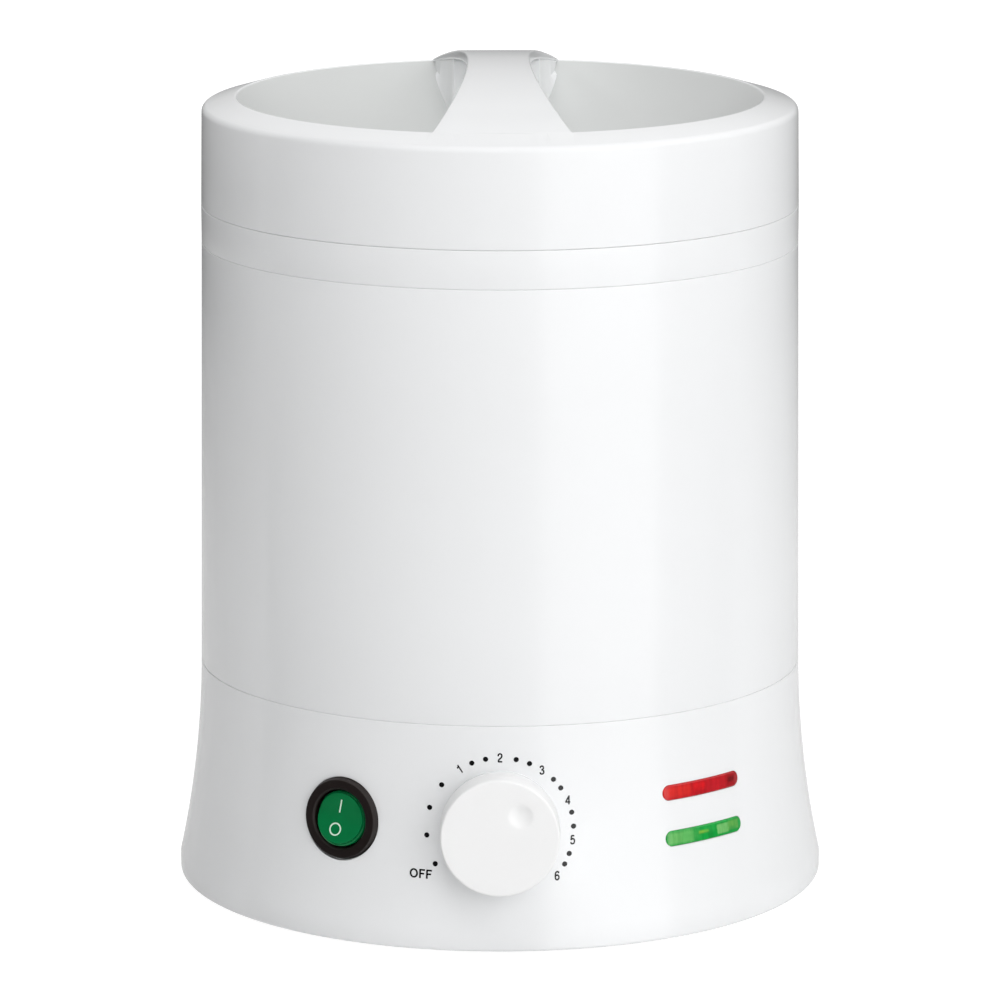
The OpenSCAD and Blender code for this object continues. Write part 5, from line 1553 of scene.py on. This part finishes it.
@dataclass(frozen=True)
class Lid:
    """The lid: skirt, rim, dished top, arched strap handle and its two legs, and the inner cover."""

    low: float = 207.46
    outer_r: float = 90.0
    strap_turn: float = 0.75
    strap_shift: float = -0.45
    shoulder_r: float = 89.6
    wall: float = 2.5
    dish_r: float = 136.0
    dish_centre: float = 350.29
    rim_r: float = 79.46
    rim_z: float = 239.93
    strap_top: float = 250.6
    strap_end: float = 79.6
    edge: float = 0.7
    strap_rise: float = 11.0
    waist: float = 9.4
    foot: float = 20.5
    power: float = 2.06
    under_end: float = 77.5
    under_rise: float = 7.6
    under_low: float = 239.3
    strap_reach: float = 81.0
    fillet: float = 2.0
    fillet_from: float = 73.0
    fillet_run: float = 6.5
    slope: float = 0.289
    end_lift: float = 0.3
    slope_lift: float = 0.17
    blend: float = 0.24
    tuck: float = 0.5
    under_dip: float = 2.0
    screw_way: float = 55.0
    screw_r: float = 1.6
    boss_r: float = 4.0
    boss_bore: float = 1.5
    boss_z: Pair = (210.1, 222.5)
    liner_z: Pair = (208.0, 210.0)
    liner_r: float = 87.2
    ring_r: Pair = (82.4, 84.2)
    ring_low: float = 202.5
    leg_start: float = 47.0
    leg_end: float = 80.6
    leg_shelf: Table = (
        (47.0, 221.0), (49.6, 229.6), (50.4, 232.6), (51.6, 234.2), (53.6, 235.1), (58.3, 235.4),
        (65.7, 235.9), (72.1, 236.8), (76.0, 238.0), (79.0, 239.2), (80.6, 239.3))
    leg_spread: Table = ((47.0, 0.3), (59.1, 0.5), (69.4, 1.6), (75.4, 2.3), (80.6, 3.2))

    def dish(self, r: float) -> float:
        """Gives the dished top's height at a radius."""
        return self.dish_centre - math.sqrt(self.dish_r ** 2 - r * r)

    def dish_normal(self, point: Vector) -> Vector | None:
        """Gives the dished top's upward normal.

        Args:
            point: A point in millimetres.

        Returns:
            The normal there, or None where the point is off the dish.
        """
        out = Vector((0, 0, self.dish_centre)) - point
        if abs(out.length - self.dish_r) > 0.02 or math.hypot(point.x, point.y) > self.rim_r - 1.2:
            return None
        return out.normalized()

    def width(self, y: float) -> float:
        """Gives the strap's half width, which grows from its waist to its feet."""
        return self.waist + (self.foot - self.waist) * (min(y, self.strap_end) / self.strap_end) ** self.power

    def half(self, y: float) -> float:
        """Gives the strap's half width, with a fillet where it runs into the near rim."""
        t = max(0.0, min(1.0, (-y - self.fillet_from) / self.fillet_run))
        return self.width(abs(y)) + self.fillet * (1 - math.sqrt(1 - t * t * 0.96))

    def crown(self, x: float, y: float) -> float:
        """Gives the strap's top, which runs down into the rim's outer slope and then under it.

        Args:
            x: The place across.
            y: The place along the strap.

        Returns:
            The height.
        """
        way = math.hypot(x, y)
        arch = self.over(y) + self.end_lift * smoothstep(60, self.strap_end, abs(y))
        slope = self.rim_z + self.slope_lift - self.slope * (way - self.rim_r)
        met = 0.5 * (arch + slope - math.hypot(arch - slope, self.blend))
        return met - self.tuck * smoothstep(80.4, 82.0, way)

    def arch(self, y: float, end: float, rise: float, low: float) -> float:
        """Gives the height of an arch that spans from -end to end, and is level past them."""
        radius = (end * end + rise * rise) / (2 * rise)
        return low + rise - radius + math.sqrt(radius * radius - min(abs(y), end) ** 2)

    def over(self, y: float) -> float:
        """Gives the height of the strap's upper arch."""
        return self.arch(y, self.strap_end, self.strap_rise, self.strap_top - self.strap_rise)

    def under(self, y: float) -> float:
        """Gives the height of the strap's lower arch."""
        return self.arch(y, self.under_end, self.under_rise, self.under_low)

    def skirt_profile(self) -> list[Pair]:
        """Gives the lid's section from the skirt over the rim and through the dish.

        Returns:
            The section's points.
        """
        inner, start = self.outer_r - self.wall, self.rim_r - 2.2
        outer = rounded([
            (inner, self.low, 0.2), (self.outer_r, self.low, 0.35), (self.shoulder_r, 237.0, 2.2),
            (self.rim_r, self.rim_z, 1.25), (start, self.dish(start), 0)], 8, closed=False)
        top = [(r, self.dish(r)) for r in even(start, 0, 44)[1:]]
        under = [(r, self.dish(r) - self.wall) for r in even(0, start, 16)]
        back = [(inner - 2.4, 234.6), (inner - 0.4, 233.0), (inner, 230.0)]
        return outer + top + under + back

    def strap(self) -> Shape:
        """Makes the strap as cross-sections with rounded edges, from rim to rim.

        Returns:
            The strap.
        """
        rows = []
        for a in even(-math.pi / 2, math.pi / 2, 96):
            y = self.strap_reach * math.sin(a)
            w = self.half(y)
            high = self.over(y)
            low = min(self.under(y), high - 0.5) - self.under_dip * smoothstep(75.0, 79.5, abs(y))
            edge = min(self.edge, (high - low) * 0.45)
            corner = rounded([(0, low, 0), (w, low, edge * 0.7), (w, high, edge), (0, high, 0)], 6,
                             closed=False)
            spread = corner[:1] + corner[1:-1] + [(w * t, high) for t in (0.75, 0.5, 0.25)] + corner[-1:]
            section = spread + [(-x, z) for x, z in reversed(spread[1:-1])]
            rows.append([(x, y, low + (z - low) * (self.crown(x, y) - low) / (high - low))
                         for x, z in section])
        return Shape().prism(rows)

    def leg(self, side: int) -> Shape:
        """Makes one leg, which fills the space between the dish and the strap's end.

        Args:
            side: 1 for the far leg, -1 for the near one.

        Returns:
            The leg.
        """
        rows = []
        for y in sorted({*even(self.leg_start, self.leg_end, 34), *(place for place, _ in self.leg_shelf)}):
            high = read_off(self.leg_shelf, y)
            w = self.width(y)
            base_w = w + read_off(self.leg_spread, y)
            low = min(self.dish(min(math.hypot(base_w, y), self.strap_reach)) - 0.9, high - 0.3)
            fill = (self.under(y) + 0.6 - high) * smoothstep(47.5, 53.0, y)
            half = [(base_w, low), (w - 0.25, high - 0.12), (w - 0.6, high + fill)]
            # The leg stays under the rim's outer slope
            half = [(x, min(z, self.rim_z - 0.5 - 0.45 * (math.hypot(x, y) - self.rim_r))) for x, z in half]
            rows.append([(-x, side * y, z) for x, z in half]
                        + [(x, side * y, z) for x, z in reversed(half)])
        return Shape().prism(rows)

    def screw_spots(self) -> list[Matrix]:
        """Gives the places of the three screws that hold the inner cover."""
        return [spin(angle) @ shift(self.screw_way, 0, 0) for angle in (30, 150, 270)]

    def top(self) -> Piece:
        """Makes the lid's moulding as one skin.

        Returns:
            The moulding.
        """
        piece = Shape().lathe(self.skirt_profile()).build("lid_moulding")
        turned = shift(self.strap_shift, 0, 0) @ spin(self.strap_turn)
        tools = [part.moved(turned).build("strap") for part in (self.leg(1), self.leg(-1), self.strap())]
        for spot in self.screw_spots():
            low, high = self.boss_z
            boss = Shape().lathe([(self.boss_bore, low), (self.boss_r, low), (self.boss_r, high),
                                  (self.boss_bore, high)], segments=48)
            tools.append(boss.moved(spot).build("boss"))
        carve(piece, tools, join=True, sharp=28)
        true_normals(piece, self.dish_normal)
        return piece

    def liner(self) -> Piece:
        """Makes the inner cover with its locating ring and its three screw holes.

        Returns:
            The inner cover.
        """
        low, high = self.liner_z
        inner, outer = self.ring_r
        profile = rounded([
            (0, low, 0), (inner, low, 0.8), (inner, self.ring_low, 0.5), (outer, self.ring_low, 0.6),
            (outer, low, 0.3), (self.liner_r, low, 0.4), (self.liner_r, high, 0.3), (0, high, 0)],
            4, closed=False)
        piece = Shape().lathe(profile, closed=False).build("lid_inner_cover")
        return carve(piece, [Shape().plug(self.screw_r, low - 3, high + 2, 32).moved(spot).build("hole")
                             for spot in self.screw_spots()])

    def dress(self) -> None:
        """Makes and finishes the lid."""
        top = self.top()
        put(top, WHITE_ABS, Body.LID, ["lid_shell"])
        # The dish gets a greyer colour: painted shade in the lid's recess
        top.data.materials.append(DISH_SHADED_ABS.material())
        for face in top.data.polygons:
            middle = face.center / MM
            out = Vector((0, 0, self.dish_centre)) - middle
            if (abs(out.length - self.dish_r) < 0.3 and face.normal.dot(out.normalized()) > 0.985
                    and math.hypot(middle.x, middle.y) < self.rim_r - 0.6):
                face.material_index = 1
        put(self.liner(), SATIN_ABS, Body.LID, ["lid_liner"])


# What stays as the CAD has it


@dataclass(frozen=True)
class InnerParts:
    """The parts whose CAD shape is right and that only need their finish."""

    finishes: tuple[tuple[Finish, tuple[str, ...]], ...] = (
        (SPUN_ALUMINIUM, ("heating_well", "pot_ears", "ear_rivets")),
        (ZINC_STEEL, ("heat_shield", "cover_screws", "body_screws", "shield_screws", "well_studs",
                      "well_spacers", "well_nuts", "thermostat_screws", "bulb_clip", "fuse_clip",
                      "board_screws", "inlet_screws", "inlet_nuts", "heater_clamp", "knob_clip", "lid_screws",
                      "terminal_screws", "earth_tag", "thermostat_shaft", "inlet_pins")),
        (STAMPED_BRASS, ("switch_terminals",)),
        (CAST_SILICONE, ("heater_band",)),
        (GLASS_FLEECE, ("insulation_wrap",)),
        (FIRED_STEATITE, ("thermostat_body", "terminal_block")),
        (LAMP_GLASS, ("indicator_lamps", "switch_lamp", "thermal_fuse")),
        (BOARD_EPOXY, ("lamp_board",)),
        (BROWN_SLEEVE, ("live_wires",)),
        (BLUE_SLEEVE, ("neutral_wires",)),
        (STRIPED_SLEEVE, ("earth_wire",)),
        (DRAWN_COPPER, ("sensor_bulb",)),
    )

    def dress(self, nodes: dict[str, Piece]) -> None:
        """Gives each CAD node that stays its finish.

        Args:
            nodes: The CAD nodes by name.
        """
        for finish, names in self.finishes:
            for name in names:
                node = nodes[name]
                for place in node.material_slots:
                    place.material = finish.material()
                if not node.material_slots:
                    node.data.materials.append(finish.material())
                log.info("%s: %s", name, finish.name)


# Floor, light and camera


@dataclass(frozen=True)
class Studio:
    """A white table with soft light from the front right, and the photograph's view of it."""

    eye: Triple = (0.0, -1712.0, 482.8)
    aim: Triple = (0.0, 0.0, 115.2)
    lens: float = 206.7
    sensor: float = 36.0
    ambient: float = 0.47
    dim: float = 0.02
    dim_turn: float = -105.0
    lamp_aim: float = 0.12
    snoot_angle: float = 4.6
    snoot_r: float = 0.04
    snoot_way: float = 0.9
    table_z: float = -0.05
    table_lift: float = 1.2
    table_share: float = 0.8

    def toward(self, turn: float, rise: float) -> Vector:
        """Gives the direction at a turn from the front, to the right, and a rise above the level."""
        a, e = math.radians(turn), math.radians(rise)
        return Vector((math.sin(a) * math.cos(e), -math.cos(a) * math.cos(e), math.sin(e)))

    def hang(self, name: str, data: bpy.types.ID, spot: Vector, aim: Vector) -> Piece:
        """Places a lamp or a camera and faces it at a point.

        Args:
            name: Its name.
            data: The lamp's or the camera's own data.
            spot: Its place, in metres.
            aim: The point it faces, in metres.

        Returns:
            The new object.
        """
        made = bpy.data.objects.new(name, data)
        bpy.context.collection.objects.link(made)
        made.location = spot
        made.rotation_mode = "QUATERNION"
        made.rotation_quaternion = (aim - spot).to_track_quat("-Z", "Y")
        return made

    def camera(self) -> None:
        """Sets the camera at the photograph's viewpoint."""
        data = bpy.data.cameras.new("camera")
        data.lens = self.lens
        data.sensor_width = self.sensor
        data.clip_end = 50.0
        view = self.hang("camera", data, Vector(self.eye) * MM, Vector(self.aim) * MM)
        bpy.context.scene.camera = view

    def shine(self, data: bpy.types.Light, turn: float, rise: float, way: float, aim: Vector) -> None:
        """Hangs a lamp that shows in no reflection.

        Args:
            data: The lamp's own data.
            turn: Its turn from the front, to the right, in degrees.
            rise: Its rise above the level, in degrees.
            way: Its distance from the point it faces, in metres.
            aim: That point, in metres.
        """
        lamp = self.hang(data.name, data, aim + self.toward(turn, rise) * way, aim)
        lamp.visible_camera = lamp.visible_glossy = False

    def lamp(self, name: str, turn: float, rise: float, way: float, size: Pair, power: float) -> None:
        """Hangs a soft lamp that faces the object.

        Args:
            name: The lamp's name.
            turn: Its turn from the front, to the right, in degrees.
            rise: Its rise above the level, in degrees.
            way: Its distance in metres.
            size: Its width and height in metres.
            power: Its power in watts.
        """
        data = bpy.data.lights.new(name, "AREA")
        data.shape = "RECTANGLE"
        data.size, data.size_y = size
        data.energy = power
        self.shine(data, turn, rise, way, Vector((0, 0, self.lamp_aim)))

    def snoot(self, name: str, turn: float, rise: float, aim: Vector, power: float) -> None:
        """Hangs a narrow lamp that reaches under the lid's strap.

        Args:
            name: The lamp's name.
            turn: Its turn from the front, to the right, in degrees.
            rise: Its rise above the level, in degrees.
            aim: The point it faces, in millimetres.
            power: Its power in watts.
        """
        data = bpy.data.lights.new(name, "SPOT")
        data.energy = power
        data.spot_size = math.radians(self.snoot_angle)
        data.spot_blend = 1.0
        data.shadow_soft_size = self.snoot_r
        self.shine(data, turn, rise, self.snoot_way, aim * MM)

    def reflected(self, sheet: Piece, glow: Callable[[Tree], Socket | float]) -> None:
        """Makes a sheet glow, and show in reflections alone.

        Args:
            sheet: The sheet.
            glow: Gives how bright it looks, where 1 is white, and may add nodes for that.
        """
        paint, tree = blank(sheet.name)
        light = add_node(tree, "Emission", {"Color": (1, 1, 1, 1), "Strength": glow(tree)})
        add_node(tree, "OutputMaterial", {"Surface": light.outputs[0]})
        paint.cycles.emission_sampling = "NONE"
        sheet.data.materials.append(paint)
        sheet.visible_camera = sheet.visible_diffuse = sheet.visible_shadow = False
        sheet.visible_transmission = sheet.visible_volume_scatter = False

    def card(self, name: str, turns: Pair, rises: Pair, way: float, glow: float) -> None:
        """Bends a card round the object that shows in reflections alone.

        Args:
            name: The card's name.
            turns: Where it starts and ends, in degrees from the front, to the right.
            rises: Its lowest and highest rise, in degrees.
            way: Its distance in metres.
            glow: How bright it looks, where 1 is white.
        """
        shape = Shape().rows([[self.toward(turn, rise) * way / MM for turn in even(*turns, 24)]
                              for rise in even(*rises, 12)], loop=False)
        self.reflected(shape.build(name), lambda tree: glow)

    def screen_glow(self, tree: Tree) -> Socket:
        """Makes the screen's light: dark in its middle, paler below, above and to the left.

        Args:
            tree: The screen's node tree.

        Returns:
            The socket that gives the light.
        """
        split = add_node(tree, "SeparateXYZ", {"Vector": add_node(tree, "TexCoord").outputs["Object"]})
        across, up = split.outputs[0], split.outputs[2]
        low = ramp(tree, up, (0.02, -0.16), (0.13, 0.72))
        high = ramp(tree, up, (0.17, 1.2), (0.0, 0.87))
        side = ramp(tree, across, (0.08, -0.2), (0.0, 0.25))
        high = calc(tree, "MULTIPLY_ADD", side, ramp(tree, up, (0.12, 0.25)), high)
        return calc(tree, "ADD", low, high)

    def screen(self) -> None:
        """Stands a screen behind the object that shows in reflections alone."""
        shape = Shape().rows([[(*(self.toward(turn, 0).xy * 1200), z) for turn in even(100, 260, 40)]
                              for z in (-1200, -400, -200, -100, 0, 200, 500, 1000, 1600)], loop=False)
        self.reflected(shape.build("screen"), self.screen_glow)

    def floor(self) -> None:
        """Lays the white table, which brightens to the background and keeps the object's shadow."""
        table = Shape().rows([[(x, y, self.table_z) for x, y in circle(r, 64)]
                              for r in (0, 400, 2000, 20000)]).build("table")
        paint, tree = blank("matt_white_table")
        place = add_node(tree, "TexCoord").outputs["Object"]
        cloud = add_node(tree, "TexNoise", {"Vector": place, "Scale": 4.0}).outputs[0]
        tint = mix(tree, cloud, linear("#f4f4f4"), linear("#f7f7f7"))
        matt = add_node(tree, "BsdfDiffuse", {"Color": tint})
        lift = add_node(tree, "Emission", {"Color": (1, 1, 1, 1), "Strength": self.table_lift})
        seen = add_node(tree, "MixShader", {0: self.table_share, 1: matt.outputs[0], 2: lift.outputs[0]})
        ray = add_node(tree, "LightPath")
        both = add_node(tree, "MixShader", {0: ray.outputs["Is Camera Ray"], 1: matt.outputs[0],
                                            2: seen.outputs[0]})
        add_node(tree, "OutputMaterial", {"Surface": both.outputs[0]})
        table.data.materials.append(paint)
        table.visible_glossy = False

    def sky(self) -> None:
        """Lights the room: white where it is seen or mirrored, and softer elsewhere."""
        world = bpy.data.worlds.new("room")
        bpy.context.scene.world = world
        world.use_nodes = True
        tree = world.node_tree
        tree.nodes.clear()
        way = add_node(tree, "TexCoord").outputs["Generated"]
        facing = add_node(tree, "VectorMath", {0: way, 1: self.toward(self.dim_turn, 0)},
                          operation="DOT_PRODUCT").outputs["Value"]
        level = ramp(tree, facing, (0.2, 0.95), (self.ambient, self.dim), "SMOOTHSTEP")
        ray = add_node(tree, "LightPath").outputs
        bounce = calc(tree, "MAXIMUM", ray["Is Glossy Ray"], ray["Is Transmission Ray"])
        seen = calc(tree, "MAXIMUM", bounce, ray["Is Camera Ray"])
        strength = add_node(tree, "Mix", {0: seen, 2: level, 3: 1.0}, data_type="FLOAT").outputs[0]
        light = add_node(tree, "Background", {"Color": (1, 1, 1, 1), "Strength": strength})
        add_node(tree, "OutputWorld", {"Surface": light.outputs[0]})

    def set_up(self) -> None:
        """Sets up the camera, the table, the lamps and the cards."""
        bpy.context.scene.view_settings.view_transform = "Standard"
        self.camera()
        self.floor()
        self.sky()
        self.lamp("key", 31, 22, 1.9, (2.2, 2.0), 21.6)
        self.lamp("fill", -30, 76, 2.4, (1.6, 1.6), 19.0)
        self.lamp("back", 172, 12, 2.2, (1.6, 1.6), 12.0)
        self.snoot("snoot_left", -35, 24, Vector((-15, 54, 231)), 12.0)
        self.snoot("snoot_right", 35, 24, Vector((15, 54, 231)), 5.0)
        self.card("softbox", (15.4, 61.6), (-60, 35), 2.3, 1.25)
        self.card("dark_left", (-100, 15), (-62, 40), 2.6, 0.06)
        self.card("dark_right", (62, 100), (-62, 9), 2.6, 0.1)
        self.screen()


def main() -> None:
    """Loads the frame, makes every piece and sets up the studio."""
    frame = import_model()
    Studio().set_up()
    housing = Housing()
    housing.dress()
    Knob().dress()
    Dial().dress(housing)
    Switch().dress()
    Windows().dress()
    Inlet().dress()
    Pot().dress()
    Lid().dress()
    InnerParts().dress(frame["nodes"])
    log.info("done")


if __name__ == "__main__":
    logging.basicConfig(level=logging.INFO, format="%(message)s")
    main()
